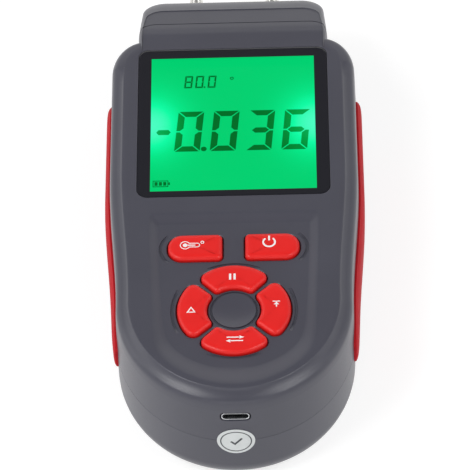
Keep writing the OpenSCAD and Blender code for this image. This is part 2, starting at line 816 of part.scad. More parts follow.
// Charging socket: a folded shell with a contact tongue
usb_skin = 0.3;
usb_setback = 0.8;
module usb_shell() {
    color("silver") translate([0, y0 + usb_setback, usb_z]) rotate([-90, 0, 0]) difference() {
        linear_extrude(height = usb_l) round_rect(usb_w, usb_h, usb_h/3);
        translate([0, 0, -over])
            linear_extrude(height = usb_l - usb_skin + over)
                round_rect(usb_w - 2*usb_skin, usb_h - 2*usb_skin, usb_h/4);
    }
}
module usb_tongue() {
    tongue_w = 3.8;
    tongue_t = 0.65;
    tongue_l = 4.3;
    tongue_lift = 0.25;
    color("black") translate([0, y0 + usb_setback + usb_l - usb_skin - tongue_l/2, usb_z + tongue_lift])
        cube([tongue_w, tongue_l, tongue_t], center = true);
}

module battery_cell() {
    fold = 2;
    color("silver") translate([0, y0 + battery_at, face_t + pad_t + seat_gap]) {
        translate([0, 0, battery_t/2]) cube([battery_w, battery_l, battery_t - 2*fold], center = true);
        translate([0, 0, battery_t/2]) cube([battery_w - 2*fold, battery_l - fold, battery_t], center = true);
    }
}
module battery_pad() {
    pad_share = 0.8;
    color("black") translate([0, y0 + battery_at, face_t + seat_gap/2 + pad_t/2])
        cube([battery_w*pad_share, battery_l*pad_share, pad_t], center = true);
}

// A tube swept along points, with an optional bore
function along(p, i) = let (
        a = p[max(0, i - 1)],
        b = p[min(len(p) - 1, i + 1)]
    ) (b - a)/norm(b - a);
function tube_ring(c, d, r, n, across) = let (
        u = cross(d, across),
        s = u/norm(u),
        t = cross(s, d)
    ) [for (i = [0:n - 1]) let (a = 360*i/n) c + r*(cos(a)*s + sin(a)*t)];
module solid_tube(path, r, n, across = [0, 0, 1]) {
    pts = [for (i = [0:len(path) - 1]) each tube_ring(path[i], along(path, i), r, n, across)];
    last = n*(len(path) - 1);
    polyhedron(points = pts, faces = concat(
        ring_faces(n, len(path)),
        [for (i = [1:n - 2]) [0, i + 1, i]],
        [for (i = [1:n - 2]) [last, last + i, last + i + 1]]
    ));
}
// A smooth step from one straight run to the other
function s_curve(a, b, lead, n) = [
    a,
    for (i = [0:n])
        let (t = i/n, y = a[1] + lead + (b[1] - a[1] - 2*lead)*t, s = smooth(t))
        [a[0] + (b[0] - a[0])*s, y, a[2] + (b[2] - a[2])*s],
    b
];

sensor_w = 13;
sensor_l = 11;
sensor_t = 7;
sensor_back = 41;
sensor_at = case_l - sensor_back;
nozzle_pitch = 7;
nozzle_r = 1.3;
nozzle_l = 6;
nozzle_z = board_under - sensor_t/2;
module pressure_sensor() {
    color("dimgray") {
        translate([0, y0 + sensor_at, board_under - sensor_t/2])
            cube([sensor_w, sensor_l, sensor_t], center = true);
        for (s = [-1, 1]) translate([s*nozzle_pitch/2, y0 + sensor_at + sensor_l/2 - seat_gap, nozzle_z])
            rotate([-90, 0, 0]) cylinder(r = nozzle_r, h = nozzle_l);
    }
}

// Ports: flange outside the head, threaded body through the wall, nut and hose tail inside
flange_r = 4.8;
flange_h = 1.6;
seal_t = 0.8;
nut_t = 2.5;
nut_flat = 10;
tail_l = 8;
hose_r = 2.9;
barb_l = 2.2;
tip_l = 2.8;
module port() {
    foot = -head_wall - nut_t - tail_l;
    rotate([-90, 0, 0]) difference() {
        rotate_extrude()
            polygon([
                [0, foot], [port_tip_r, foot],
                [port_tip_r, -head_wall - nut_t - seal_t], [port_body_r, -head_wall - nut_t - seal_t],
                [port_body_r, seal_t], [flange_r, seal_t], [flange_r, seal_t + flange_h],
                [port_tip_r, seal_t + flange_h], [port_tip_r, port_reach - tip_l - 2*barb_l],
                [port_barb_r, port_reach - tip_l - 2*barb_l], [port_tip_r, port_reach - tip_l - barb_l],
                [port_barb_r, port_reach - tip_l - barb_l], [port_tip_r, port_reach - tip_l],
                [port_tip_r, port_reach], [0, port_reach]
            ]);
        translate([0, 0, foot - over]) cylinder(r = port_bore_r, h = port_reach - foot + 2*over);
    }
}
module positive_port() { color("silver") translate([port_pitch/2, y_end, port_z]) port(); }
module negative_port() { color("silver") translate([-port_pitch/2, y_end, port_z]) port(); }
module port_nuts() {
    color("silver") for (s = [-1, 1])
        translate([s*port_pitch/2, y_end - head_wall - nut_t, port_z]) rotate([-90, 0, 0]) difference() {
            cylinder(r = nut_flat/sqrt(3), h = nut_t, $fn = 6);
            translate([0, 0, -over]) cylinder(r = port_body_r + thread_gap, h = nut_t + 2*over);
        }
}
module port_seals() {
    color("black") for (s = [-1, 1]) translate([s*port_pitch/2, y_end, port_z]) rotate([-90, 0, 0])
        difference() {
            cylinder(r = flange_r, h = seal_t);
            translate([0, 0, -over]) cylinder(r = port_body_r + thread_gap, h = seal_t + 2*over);
        }
}

hose_sides = 12;
hose_steps = 10;
hose_overlap = 5;
module hose(side) {
    start = [side*nozzle_pitch/2, y0 + sensor_at + sensor_l/2 + lip_gap, nozzle_z];
    finish = [side*port_pitch/2, y_end - head_wall - nut_t - tail_l + hose_overlap, port_z];
    past = [0, over, 0];
    bore = s_curve(start - past, finish + past, hose_overlap + over, hose_steps);
    difference() {
        solid_tube(s_curve(start, finish, hose_overlap, hose_steps), hose_r, hose_sides);
        solid_tube(bore, nozzle_r, hose_sides);
        translate(start - past) rotate([-90, 0, 0])
            cylinder(r = nozzle_r + seat_gap, h = nozzle_l + over);
        translate(finish + past) rotate([90, 0, 0])
            cylinder(r = port_tip_r + seat_gap, h = hose_overlap + over);
    }
}
module positive_hose() { color("silver") hose(1); }
module negative_hose() { color("silver") hose(-1); }

module processor_chip() {
    chip_w = 10;
    chip_t = 1.5;
    chip_back = 69;
    color("black") translate([0, y_end - chip_back, board_under - chip_t/2])
        cube([chip_w, chip_w, chip_t], center = true);
}
module charger_chip() {
    chip_w = 5;
    chip_l = 4;
    chip_t = 1.4;
    chip_at = 9;
    color("black") translate([0, y0 + chip_at, board_under - chip_t/2])
        cube([chip_w, chip_l, chip_t], center = true);
}
module buzzer() {
    buzzer_r = 6;
    buzzer_t = 5.5;
    buzzer_x = 15;
    buzzer_back = 57;
    sound_r = 0.9;
    color("black") translate([buzzer_x, y_end - buzzer_back, board_under - buzzer_t]) difference() {
        cylinder(r = buzzer_r, h = buzzer_t);
        translate([0, 0, -over]) cylinder(r = sound_r, h = 2*over);
    }
}
module board_capacitors() {
    cap_r = 2.5;
    cap_t = 5.4;
    cap_back = 57;
    cap_pitch = 6;
    color("silver") for (k = [0:2]) translate([-3*cap_r - k*cap_pitch, y_end - cap_back, board_under - cap_t])
        cylinder(r = cap_r, h = cap_t);
}
connector_side = 5;
connector_step = 2;
connector_x = -battery_w/2 - connector_side;
connector_at = battery_at + connector_step;
connector_w = 6;
connector_l = 5;
connector_t = 5;
module battery_connector() {
    color("white") translate([connector_x, y0 + connector_at, board_under - connector_t/2])
        cube([connector_w, connector_l, connector_t], center = true);
}
lead_r = 0.65;
lead_gap = 1.6;
lead_sides = 8;
module battery_leads() {
    low = face_t + pad_t + battery_t/2;
    high = board_under - connector_t - seat_gap;
    color("red") for (s = [-1, 1])
        solid_tube([
            [-battery_w/2 - seat_gap, y0 + battery_at + s*lead_gap, low],
            [-battery_w/2 - 3*lead_r, y0 + battery_at + s*lead_gap, low],
            [connector_x, y0 + battery_at + lead_r + s*lead_gap, low + 4*lead_r],
            [connector_x, y0 + connector_at + s*lead_gap, high - 4*lead_r],
            [connector_x, y0 + connector_at + s*lead_gap, high]
        ], lead_r, lead_sides, [0, 1, 0]);
}

module case_screws() {
    color("silver") for (p = case_spots) translate([p[0], y0 + p[1], case_head_z])
        screw(case_screw_r, case_screw_head_r, case_screw_head_h, case_screw_l - case_screw_head_h);
}
module board_screws() {
    color("silver") for (p = board_spots) translate([p[0], y0 + p[1], board_under - board_screw_head_h])
        screw(board_screw_r, board_screw_head_r, board_screw_head_h, board_screw_l - board_screw_head_h);
}

front_cover();
rear_cover();
left_grip();
right_grip();
display_window();
lcd_glass();
lcd_frame();
backlight_panel();
zebra_strip();
main_board();
keypad_sheet();
temperature_key();
power_key();
hold_key();
difference_key();
maximum_key();
units_key();
temperature_dome();
power_dome();
hold_dome();
difference_dome();
maximum_dome();
units_dome();
usb_shell();
usb_tongue();
battery_cell();
battery_pad();
battery_leads();
battery_connector();
pressure_sensor();
positive_port();
negative_port();
port_nuts();
port_seals();
positive_hose();
negative_hose();
processor_chip();
charger_chip();
buzzer();
board_capacitors();
case_screws();
board_screws();
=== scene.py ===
from functools import partial
from math import asin, atan2, cos, degrees, pi, radians, sin, sqrt, tan
import bmesh
import bpy
import numpy as np
from mathutils import Matrix, Vector


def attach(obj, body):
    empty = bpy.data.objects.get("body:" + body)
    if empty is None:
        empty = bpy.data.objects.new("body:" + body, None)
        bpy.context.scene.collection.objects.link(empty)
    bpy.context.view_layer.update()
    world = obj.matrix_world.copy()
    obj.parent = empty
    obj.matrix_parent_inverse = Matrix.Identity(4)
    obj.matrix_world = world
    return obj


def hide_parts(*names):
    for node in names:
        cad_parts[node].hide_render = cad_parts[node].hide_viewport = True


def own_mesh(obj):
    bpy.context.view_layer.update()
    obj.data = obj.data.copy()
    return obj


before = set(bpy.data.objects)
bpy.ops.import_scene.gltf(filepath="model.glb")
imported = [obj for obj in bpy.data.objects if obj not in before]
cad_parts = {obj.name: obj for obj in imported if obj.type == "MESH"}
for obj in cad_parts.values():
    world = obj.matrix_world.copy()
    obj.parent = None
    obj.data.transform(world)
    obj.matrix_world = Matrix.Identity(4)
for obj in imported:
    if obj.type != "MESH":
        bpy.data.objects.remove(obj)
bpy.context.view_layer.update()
mm = 0.001
print("frame loaded:", len(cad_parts), "nodes")

# Millimetres, as in the solids but for the window and the grips, which were measured again. Y starts mid-length.
case = {
    "length": 155, "thickness": 36, "split": 18, "halfWidth": 34.9, "taper": 2.4, "endLength": 35,
    "taperLength": 48, "headLength": 22.6, "shoulderX": 10, "shoulderY": 12, "wall": 2.2, "face": 2.6,
    "portReach": 11, "endPower": 2.02, "bandWidth": 4, "bandDrop": 6, "backRadius": 7.5, "seam": 0.02, "seamEdge": 0.06,
    "rebate": (19.2, 17),
}
head = {
    "halfWidth": 27.1, "corner": 7.2, "slope": 19.2, "edgeLength": 9.6, "edgeWidth": 1.3, "edgeDrop": 5.9, "taper": 0.7,
    "splitBack": 17.3, "creaseBack": 21, "creaseRound": 1.8, "wall": 2.4, "seam": 0.16,
}
bottomY = -(case["length"] + case["portReach"]) / 2
endY = bottomY + case["length"]
topY = endY - case["headLength"]
roundY = bottomY + case["endLength"]
shoulderY = topY - case["shoulderY"]
creaseY = endY - head["creaseBack"]
splitY = endY - head["splitBack"]
headRootY = topY - case["backRadius"] - case["wall"]
faceZ = case["thickness"]
ceilingZ = faceZ - case["face"]
fieldZ = faceZ - 1.0
ringY = bottomY + 31
boardTop = 26.7
window = {
    "width": 53.4, "length": 55.5, "y": bottomY + 98.75, "radius": 3,
    "viewWidth": 46, "viewLength": 49.8, "viewY": bottomY + 98, "printDepth": 0.5, "smudge": 2.5,
    "seat": [(0.5, 0.4), (0.22, 0.02), (0.08, -0.09), (0.05, -0.25), (0.05, -1.5)],  # growth, height over the face
    "edge": [(-1.2, -0.025), (-0.6, -0.025), (-0.25, -0.03), (-0.08, -0.07), (0, -0.22), (0, -1.475)],
}
caseScrewSpots = [(s * x, y) for x, y in ((19.5, endY - 22.6), (14.95, bottomY + 13)) for s in (-1, 1)]
boardScrewSpots = [(s * x, y) for x, y in ((27.3, bottomY + 66), (7.96, bottomY + 9)) for s in (-1, 1)]
port = {"x": 11.2, "z": 14.94, "hole": 3.55}


def linearColour(hexText):
    rgb = [int(hexText[i:i + 2], 16) / 255 for i in (1, 3, 5)]
    return [c / 12.92 if c <= 0.04045 else ((c + 0.055) / 1.055) ** 2.4 for c in rgb] + [1.0]


def placeObject(name, data):
    thing = bpy.data.objects.new(name, data)
    bpy.context.scene.collection.objects.link(thing)
    return thing


def newObject(name, points, faces, material=None):
    mesh = bpy.data.meshes.new(name)
    mesh.from_pydata([[c * mm for c in p] for p in points], [], faces)
    mesh.update()
    if material:
        mesh.materials.append(material)
    smoothFaces(mesh)
    return placeObject(name, mesh)


def smoothFaces(mesh, angle=32):
    mesh.shade_smooth()
    mesh.set_sharp_from_angle(angle=radians(angle))


def ringFaces(n, rows, closed=False):
    # faces between rings of n points that follow each other downward
    return [(k * n + i, (k + 1) % rows * n + i, (k + 1) % rows * n + (i + 1) % n, k * n + (i + 1) % n)
            for k in range(rows if closed else rows - 1) for i in range(n)]


def sweepFaces(n, count, closed, base=0):
    # a section of n points carried through count places, capped at both ends unless it is closed
    faces = [face[::-1] for face in ringFaces(n, count, closed)]
    if not closed:
        faces += [range(n)[::-1], range((count - 1) * n, count * n)]
    return [[base + v for v in face] for face in faces]


def ladderFaces(n, base, below):
    # closes a ring that is the same on both sides by faces from side to side
    partner = (lambda i: (n - i) % n) if n % 2 else (lambda i: n - 1 - i)
    faces = []
    for a in range((n - 1) // 2):
        loop = list(dict.fromkeys([a, a + 1, partner(a + 1), partner(a)]))
        faces.append([base + v for v in (reversed(loop) if below else loop)])
    return faces


def ringStack(name, rings):
    n = len(rings[0])
    points = [p for ring in rings for p in ring]
    faces = ringFaces(n, len(rings)) + ladderFaces(n, 0, False) + ladderFaces(n, n * (len(rings) - 1), True)
    return newObject(name, points, faces)


def fanStack(name, rings, topMiddle, lowMiddle, material=None):
    n = len(rings[0])
    points = [p for ring in rings for p in ring] + [topMiddle, lowMiddle]
    top, low = len(points) - 2, len(points) - 1
    last = n * (len(rings) - 1)
    faces = ringFaces(n, len(rings)) + [(top, i, (i + 1) % n) for i in range(n)]
    faces += [(low, last + (i + 1) % n, last + i) for i in range(n)]
    return newObject(name, points, faces, material)


def arc(c, r, a, b, n):
    turns = [radians(a + (b - a) * i / n) for i in range(n + 1)]
    return [(c[0] + r * cos(t), c[1] + r * sin(t)) for t in turns]


def disc(x, y, r, steps=32):
    return arc((x, y), r, 0, 360 - 360 / steps, steps - 1)


def lathe(name, profile, centre, steps, axis="Z", material=None):
    # profile: (radius, height) from the top down, closed on the axis at both ends by a fan
    cx, cy, cz = centre
    at = (lambda x, y, h: (cx + x, cy + h, cz - y)) if axis == "Y" else (lambda x, y, h: (cx + x, cy + y, cz + h))
    rings = [[at(x, y, h) for x, y in disc(0, 0, r, steps)] for r, h in profile]
    return fanStack(name, rings, at(0, 0, profile[0][1]), at(0, 0, profile[-1][1]), material)


def boxMesh(name, low, high):
    corners = ((high[0], low[1]), (high[0], high[1]), (low[0], high[1]), (low[0], low[1]))
    return ringStack(name, [[(x, y, z) for x, y in corners] for z in (high[2], low[2])])


def bakeModifiers(piece):
    result = bpy.data.meshes.new_from_object(piece.evaluated_get(bpy.context.evaluated_depsgraph_get()))
    old, piece.data = piece.data, result
    piece.modifiers.clear()
    bpy.data.meshes.remove(old)
    piece.data.name = piece.name


def combine(target, tool, operation="DIFFERENCE"):
    modifier = target.modifiers.new("combine", "BOOLEAN")
    modifier.operation, modifier.solver, modifier.object = operation, "MANIFOLD", tool
    bakeModifiers(target)
    if len(target.data.polygons) == 0:
        raise RuntimeError("nothing left of " + target.name + " after " + tool.name)
    bpy.data.objects.remove(tool)
    return target


def finishMesh(piece, material, angle=30):
    piece.data.materials.clear()
    piece.data.materials.append(material)
    smoothFaces(piece.data, angle)
    modifier = piece.modifiers.new("normals", "WEIGHTED_NORMAL")
    modifier.keep_sharp, modifier.mode, modifier.weight = True, "FACE_AREA", 80
    bakeModifiers(piece)


def turnedOut(piece):
    work = bmesh.new()
    work.from_mesh(piece.data)
    bmesh.ops.recalc_face_normals(work, faces=work.faces)
    work.to_mesh(piece.data)
    work.free()
    return piece


def roundRect(w, l, r, cy=0):
    corners = enumerate(((1, -1), (1, 1), (-1, 1), (-1, -1)))
    return [p for k, (sx, sy) in corners
            for p in arc((sx * (w / 2 - r), cy + sy * (l / 2 - r)), r, 90 * k - 90, 90 * k, 8)]


def layers(name, plans, material=None):
    # rounded rectangles (width, length, radius, middle y, z) from the top down
    rings = [[(x, y, z) for x, y in roundRect(w, l, r, cy)] for w, l, r, cy, z in plans]
    return fanStack(name, rings, (0, plans[0][3], plans[0][4]), (0, plans[-1][3], plans[-1][4]), material)


def addNode(tree, kind, inputs=None, **settings):
    # an input takes a value, a socket, a node that stands for its first output, or a list of these
    node = tree.nodes.new(kind)
    for name, value in settings.items():
        setattr(node, name, value)
    for key, value in (inputs or {}).items():
        sources = value if isinstance(value, list) else [value]
        if isinstance(sources[0], (bpy.types.Node, bpy.types.NodeSocket)):
            for source in sources:
                tree.links.new(getattr(source, "outputs", [source])[0], node.inputs[key])
        else:
            node.inputs[key].default_value = value
    return node


def newMaterial(name):
    material = bpy.data.materials.new(name)
    material.use_nodes = True
    material.node_tree.nodes.clear()
    add = partial(addNode, material.node_tree)
    return material, add, add("ShaderNodeTexCoord").outputs["Object"]


def fillRamp(ramp, stops):
    # the first two stops are the ones that a new ramp has
    for k, (at, colour) in enumerate(stops):
        stop = ramp.color_ramp.elements[k] if k < 2 else ramp.color_ramp.elements.new(at)
        stop.position, stop.color = at, colour


def mottled(name, colour, shade, cloud, grain, height, roughness, bump=0.3, metallic=0.0, ior=1.5, coat=0.0,
            inside=0.0):
    # A base colour broken by clouds, with a fine grain in the bump and the roughness; widths and height in millimetres
    material, add, coords = newMaterial(name)
    clouds = add("ShaderNodeTexNoise", {"Vector": coords, "Scale": 1 / (cloud * mm), "Detail": 3.0})
    grains = add("ShaderNodeTexNoise", {"Vector": coords, "Scale": 1 / (grain * mm), "Detail": 2.0})
    ramp = add("ShaderNodeMapRange", {"Value": clouds, "From Min": 0.3, "From Max": 0.7})
    mixed = add("ShaderNodeMix", {
        0: ramp, 6: linearColour(colour), 7: linearColour(shade),
    }, data_type="RGBA")
    rough = add("ShaderNodeMapRange", {
        "Value": grains, "To Min": roughness - 0.05, "To Max": roughness + 0.05,
    })
    bumps = add("ShaderNodeBump", {"Height": grains, "Strength": bump, "Distance": height * mm})
    shader = add("ShaderNodeBsdfPrincipled", {
        "Base Color": mixed.outputs[2], "Roughness": rough, "Metallic": metallic, "IOR": ior,
        "Coat Weight": coat, "Coat Roughness": 0.2, "Normal": bumps,
        "Subsurface Weight": inside, "Subsurface Radius": (0.002, 0.0005, 0.0004),
    })
    add("ShaderNodeOutputMaterial", {"Surface": shader})
    return material


# Each finish: colour, shade, width of the clouds, width of the grain, height of the grain, roughness
# Spark-eroded ABS moulding: satin grey, its grain too fine to see and so drawn at 0.45 mm to break the gloss
absHousing = mottled("moulded_abs_housing", "#4B4B55", "#474751", 22, 0.45, 0.02, 0.34, bump=0.2, ior=1.45)
# Silicone keys under a sprayed urethane coat: saturated red, a soft gloss
siliconeKey = mottled("coated_silicone_keys", "#E81F1C", "#E21B18", 6, 0.3, 0.01, 0.42, bump=0.2, coat=0.08, ior=1.4)
# Moulded soft-touch elastomer: a duller red than the keys, hardly any gloss
gripRubber = mottled("moulded_elastomer_grip", "#BF1823", "#B7141F", 9, 0.5, 0.02, 0.62, ior=1.25)
# Extruded silicone tube: milky, light passes a little way in
siliconeHose = mottled("extruded_silicone_hose", "#D8DAD8", "#CDD0CE", 5, 0.4, 0.01, 0.35, inside=0.2, ior=1.41)
# Turned brass, nickel-plated: a bright warm silver
nickelBrass = mottled("nickel_plated_brass_ports", "#E6E4E0", "#DEDCD7", 3, 0.25, 0.004, 0.2, metallic=1.0)
# Zinc-plated steel: bluish grey metal, a little dull
zincSteel = mottled("zinc_plated_steel_screws", "#B9BCC2", "#A7ABB2", 1.5, 0.2, 0.006, 0.32, metallic=1.0)
# Stamped steel, tinned: pale and smooth
tinnedSteel = mottled("tinned_steel_socket", "#D5D7DA", "#C4C6CA", 1.2, 0.2, 0.003, 0.25, metallic=1.0)
# Moulded nitrile rubber: near black and matt
rubberSeal = mottled("nitrile_rubber_seal", "#26272A", "#1E1F22", 3, 0.3, 0.02, 0.6)
# Moulded polycarbonate: warm white, a faint gloss
whitePlastic = mottled("moulded_white_polycarbonate", "#E4E4DF", "#DADAD4", 8, 0.4, 0.01, 0.4)
# Moulded epoxy, as on chips: black, half matt
blackPlastic = mottled("moulded_black_epoxy", "#1B1C1F", "#141517", 2, 0.25, 0.012, 0.5)
# Lacquered glass-fibre board: deep green under a clear gloss
solderMask = mottled("green_solder_mask_board", "#0F5A34", "#0B4A2A", 4, 0.6, 0.015, 0.3, coat=0.3)
# Laminated aluminium foil: soft silver with faint wrinkles
pouchFoil = mottled("laminated_foil_pouch", "#C8CACD", "#B4B7BB", 6, 1.2, 0.05, 0.34, metallic=0.9)
# Closed-cell foam: dark and dull, with small pores
foamPad = mottled("closed_cell_foam_pad", "#2C2D30", "#232427", 1.5, 0.5, 0.08, 0.85)
# Screen-printed ink on the keys: an even white
whiteInk = mottled("printed_white_ink", "#F6F4F4", "#EEECEC", 2, 0.3, 0.002, 0.4)
# Coated paper: pale grey with a weak gloss
paperSeal = mottled("coated_paper_seal", "#D9DDDD", "#D0D4D4", 2, 0.4, 0.004, 0.35, coat=0.3)
# Printed ink on the paper: dark grey, duller than the coat
sealInk = mottled("grey_seal_ink", "#3C4145", "#34383C", 2, 0.3, 0.002, 0.5)


def windowMaterial():
    # Cast acrylic pane, screen-printed black round the view: glossy, dark border, clear middle
    material, add, coords = newMaterial("printed_acrylic_window")
    parts = add("ShaderNodeSeparateXYZ", {"Vector": coords})
    inside = []
    for axis, middle, size in (("X", 0, window["viewWidth"]), ("Y", window["viewY"], window["viewLength"])):
        off = add("ShaderNodeMath", {0: parts.outputs[axis], 1: middle * mm}, operation="SUBTRACT")
        off = add("ShaderNodeMath", {0: off}, operation="ABSOLUTE")
        inside.append(add("ShaderNodeMapRange", {
            "Value": off, "From Min": size / 2 * mm, "From Max": (size / 2 + 0.05) * mm, "To Min": 1.0, "To Max": 0.0,
        }))
    view = add("ShaderNodeMath", {0: inside[0], 1: inside[1]}, operation="MULTIPLY")
    # the print lies on the outer face; what is under it is clear
    printed = (faceZ - window["printDepth"]) * mm
    under = add("ShaderNodeMath", {0: parts.outputs["Z"], 1: printed}, operation="LESS_THAN")
    clear = add("ShaderNodeMath", {0: view, 1: under}, operation="MAXIMUM")
    alpha = add("ShaderNodeMapRange", {"Value": clear, "To Min": 1.0, "To Max": 0.01})
    smudges = add("ShaderNodeTexNoise", {"Vector": coords, "Scale": 1 / (window["smudge"] * mm), "Detail": 4.0})
    rough = add("ShaderNodeMapRange", {"Value": smudges, "To Min": 0.1, "To Max": 0.17})
    shader = add("ShaderNodeBsdfPrincipled", {
        "Base Color": linearColour("#212127"), "Roughness": rough, "IOR": 1.49,
        "Alpha": alpha,
    })
    add("ShaderNodeOutputMaterial", {"Surface": shader})
    return material


# The lamps beside the display, in metres: middle of their light and its reach
glow = {"middle": (23 * mm, (bottomY + 98.8) * mm, 0), "reach": (9 * mm, 11.3 * mm, 1)}


def backlitMaterial(name, base, stops):
    # Light of the side lamps, brightest halfway up the left and right edges, through the crystal
    material, add, coords = newMaterial(name)
    parts = add("ShaderNodeSeparateXYZ", {"Vector": coords}).outputs
    side = add("ShaderNodeMath", {0: parts["X"]}, operation="ABSOLUTE")
    off = add("ShaderNodeCombineXYZ", {"X": side, "Y": parts["Y"]})
    for operation, other in (("SUBTRACT", glow["middle"]), ("DIVIDE", glow["reach"])):
        off = add("ShaderNodeVectorMath", {0: off, 1: other}, operation=operation)
    far = add("ShaderNodeVectorMath", {0: off, 1: off}, operation="DOT_PRODUCT").outputs["Value"]
    far = add("ShaderNodeMath", {0: far, 1: -1.0}, operation="MULTIPLY")
    near = add("ShaderNodeMath", {0: far}, operation="EXPONENT")
    ramp = add("ShaderNodeValToRGB", {"Fac": near})
    fillRamp(ramp, [(at, linearColour(colour)) for at, colour in stops])
    shader = add("ShaderNodeBsdfPrincipled", {
        "Base Color": linearColour(base), "Roughness": 0.3, "IOR": 1.5, "Specular IOR Level": 0.03,
        "Emission Color": ramp, "Emission Strength": 1.0,
    })
    add("ShaderNodeOutputMaterial", {"Surface": shader})
    return material


acrylicWindow = windowMaterial()
# Backlit liquid crystal: an even green that turns pale where the lamps shine in
crystalDisplay = backlitMaterial("backlit_liquid_crystal", "#02140C", [
    (0.0, "#00D170"), (1.0, "#4CFFC4"), (0.35, "#02E888"), (0.65, "#0EFDA6"),
])
# Segments of the cell that block the backlight and let a little through
crystalSegments = backlitMaterial("dark_crystal_segments", "#010A05", [
    (0.0, "#006C26"), (1.0, "#06B058"), (0.2, "#007A2C"), (0.65, "#009C40"),
])
print("materials made:", len(bpy.data.materials))


endRows = 57  # rows of the round bottom end


def bodyHalf():
    # right half of the case's outline, from the middle of the bottom end to the shoulder's top
    foot, power = case["halfWidth"] - case["taper"], 2 / case["endPower"]
    half = []
    for i in range(endRows):
        a = radians(90 * i / (endRows - 1))
        half.append((foot * sin(a) ** power, roundY - case["endLength"] * cos(a) ** power))
    for i in range(1, 49):
        y = roundY + (shoulderY - roundY) * i / 48
        half.append((sideX(y), y))
    for i in range(1, 25):
        a = radians(90 * i / 24)
        half.append((case["halfWidth"] - case["shoulderX"] * (1 - cos(a)), shoulderY + case["shoulderY"] * sin(a)))
    return np.array(half)


def sideX(y):
    t = max(0, min(1, (y - roundY) / case["taperLength"]))
    return case["halfWidth"] - case["taper"] * (1 + cos(pi * t)) / 2


def headHalf(halfWidth, end, radius):
    # right half of the head's outline; the rows are closer at the crease
    straight = end - radius
    along = [*np.linspace(headRootY, creaseY - 3, 7)[:-1], *np.linspace(creaseY - 3, creaseY + 3, 17)[:-1],
             *np.linspace(creaseY + 3, straight, 9)]
    half = [(halfWidth - head["taper"] * max(0, (y - creaseY) / (straight - creaseY)) ** 1.3, y) for y in along]
    return np.array(half + arc((halfWidth - head["taper"] - radius, straight), radius, 0, 90, 24)[1:])


def normalsOf(half, first, last):
    t = np.zeros_like(half)
    t[1:-1] = half[2:] - half[:-2]
    n = np.stack([t[:, 1], -t[:, 0]], 1)
    n[0], n[-1] = first, last
    return n / np.linalg.norm(n, axis=1)[:, None]


bodyLine = bodyHalf()
bodyNormal = normalsOf(bodyLine, (0, -1), (0, 1))
headLine = headHalf(head["halfWidth"], endY, head["corner"])
headTopLine = headHalf(head["halfWidth"] - head["edgeWidth"], endY - head["edgeLength"], 5)
headNormal = normalsOf(headLine, (1, 0), (0, 1))


def bothSides(right):
    right = [tuple(p) for p in right]
    return right + [(-p[0], p[1], p[2]) for p in reversed(right) if p[0] > 1e-6]


def bodyRing(inset, z):
    p = bodyLine - inset * bodyNormal
    return bothSides([(max(0, q[0]) if k else 0, q[1], z) for k, q in enumerate(p)])


def bodyStack(name, levels):
    return ringStack(name, [bodyRing(inset, z) for inset, z in levels])


def smoothStep(t):
    t = max(0.0, min(1.0, t))
    return t * t * (3 - 2 * t)


def spline(points, steps):
    # a smooth curve through all the points
    p = np.array(points, float)
    p = np.vstack([2 * p[0] - p[1], p, 2 * p[-1] - p[-2]])
    rows = []
    for a, b, c, d in zip(p, p[1:], p[2:], p[3:]):
        for t in np.arange(steps) / steps:
            rows.append(0.5 * (2 * b + (c - a) * t + (2 * a - 5 * b + 4 * c - d) * t * t
                               + (3 * b - a - 3 * c + d) * t ** 3))
    rows.append(p[-2])
    return np.array(rows)


# Width and drop shares of the band from the face out to the wall: a scoop along the sides, a round on the shoulders
band = {
    "scoop": [(1, 0.02), (0.86, 0.13), (0.66, 0.24), (0.44, 0.33), (0.27, 0.43), (0.15, 0.6), (0.09, 1)],
    "shoulder": [(1.1, 0.01), (0.76, 0.06), (0.5, 0.15), (0.32, 0.28), (0.2, 0.44), (0.13, 0.64), (0.09, 1)],
    "endBack": 16, "endLength": 5, "crest": 0.25, "steps": 5, "crown": 1.5,
}


def bandRows():
    scoop, shoulder = spline(band["scoop"], band["steps"]), spline(band["shoulder"], band["steps"])
    rows = []
    for side, end in zip(scoop, shoulder):
        ring = []
        for p, n in zip(bodyLine, bodyNormal):
            s = smoothStep((p[1] - topY + band["endBack"]) / band["endLength"])
            share = side * (1 - s) + end * s
            q = p - share[0] * case["bandWidth"] * n
            ring.append((q[0], q[1], faceZ - share[1] * case["bandDrop"]))
        rows.append(np.array(ring))
    # a small round on the crest, between the flat face and the first slope of the band
    first = rows[0]
    crown = first - band["crown"] * np.c_[bodyNormal, np.zeros(len(bodyNormal))]
    crown[:, 2] = faceZ
    flat, down = (first + (other - first) * (band["crest"] / np.linalg.norm(other - first, axis=1))[:, None]
                  for other in (crown, rows[1]))
    crest = [flat * (1 - t) ** 2 + first * 2 * t * (1 - t) + down * t * t for t in (0, 0.2, 0.4, 0.6, 0.8, 1)]
    rows = [crown, crown * 0.5 + flat * 0.5 + np.array([0, 0, 0.03])] + crest + rows[1:]
    for row in rows:
        row[0][0] = 0
    return [bothSides(row) for row in rows]


# Round between the back and the walls: inset and height, from the walls down
backRound = [(case["backRadius"] * (1 - sin(a)), case["backRadius"] * (1 - cos(a)))
             for a in (radians(90 * i / 12) for i in range(12, -1, -1))]


def headTop(y):
    # flat, then falling at the slope, with a soft bend between
    past, soft = y - creaseY, head["creaseRound"]
    fall = tan(radians(head["slope"]))
    return faceZ - fall * (0 if past < -soft else past if past > soft else (past + soft) ** 2 / (4 * soft))


def headRing(share, inset, drop=0, z=None):
    ring = []
    for k, (low, top, n) in enumerate(zip(headLine, headTopLine, headNormal)):
        q = low + (top - low) * share - inset * n
        y = headRootY if k == 0 else q[1]
        ring.append((max(0, q[0]), y, headTop(y) - drop if z is None else z))
    return bothSides(ring)


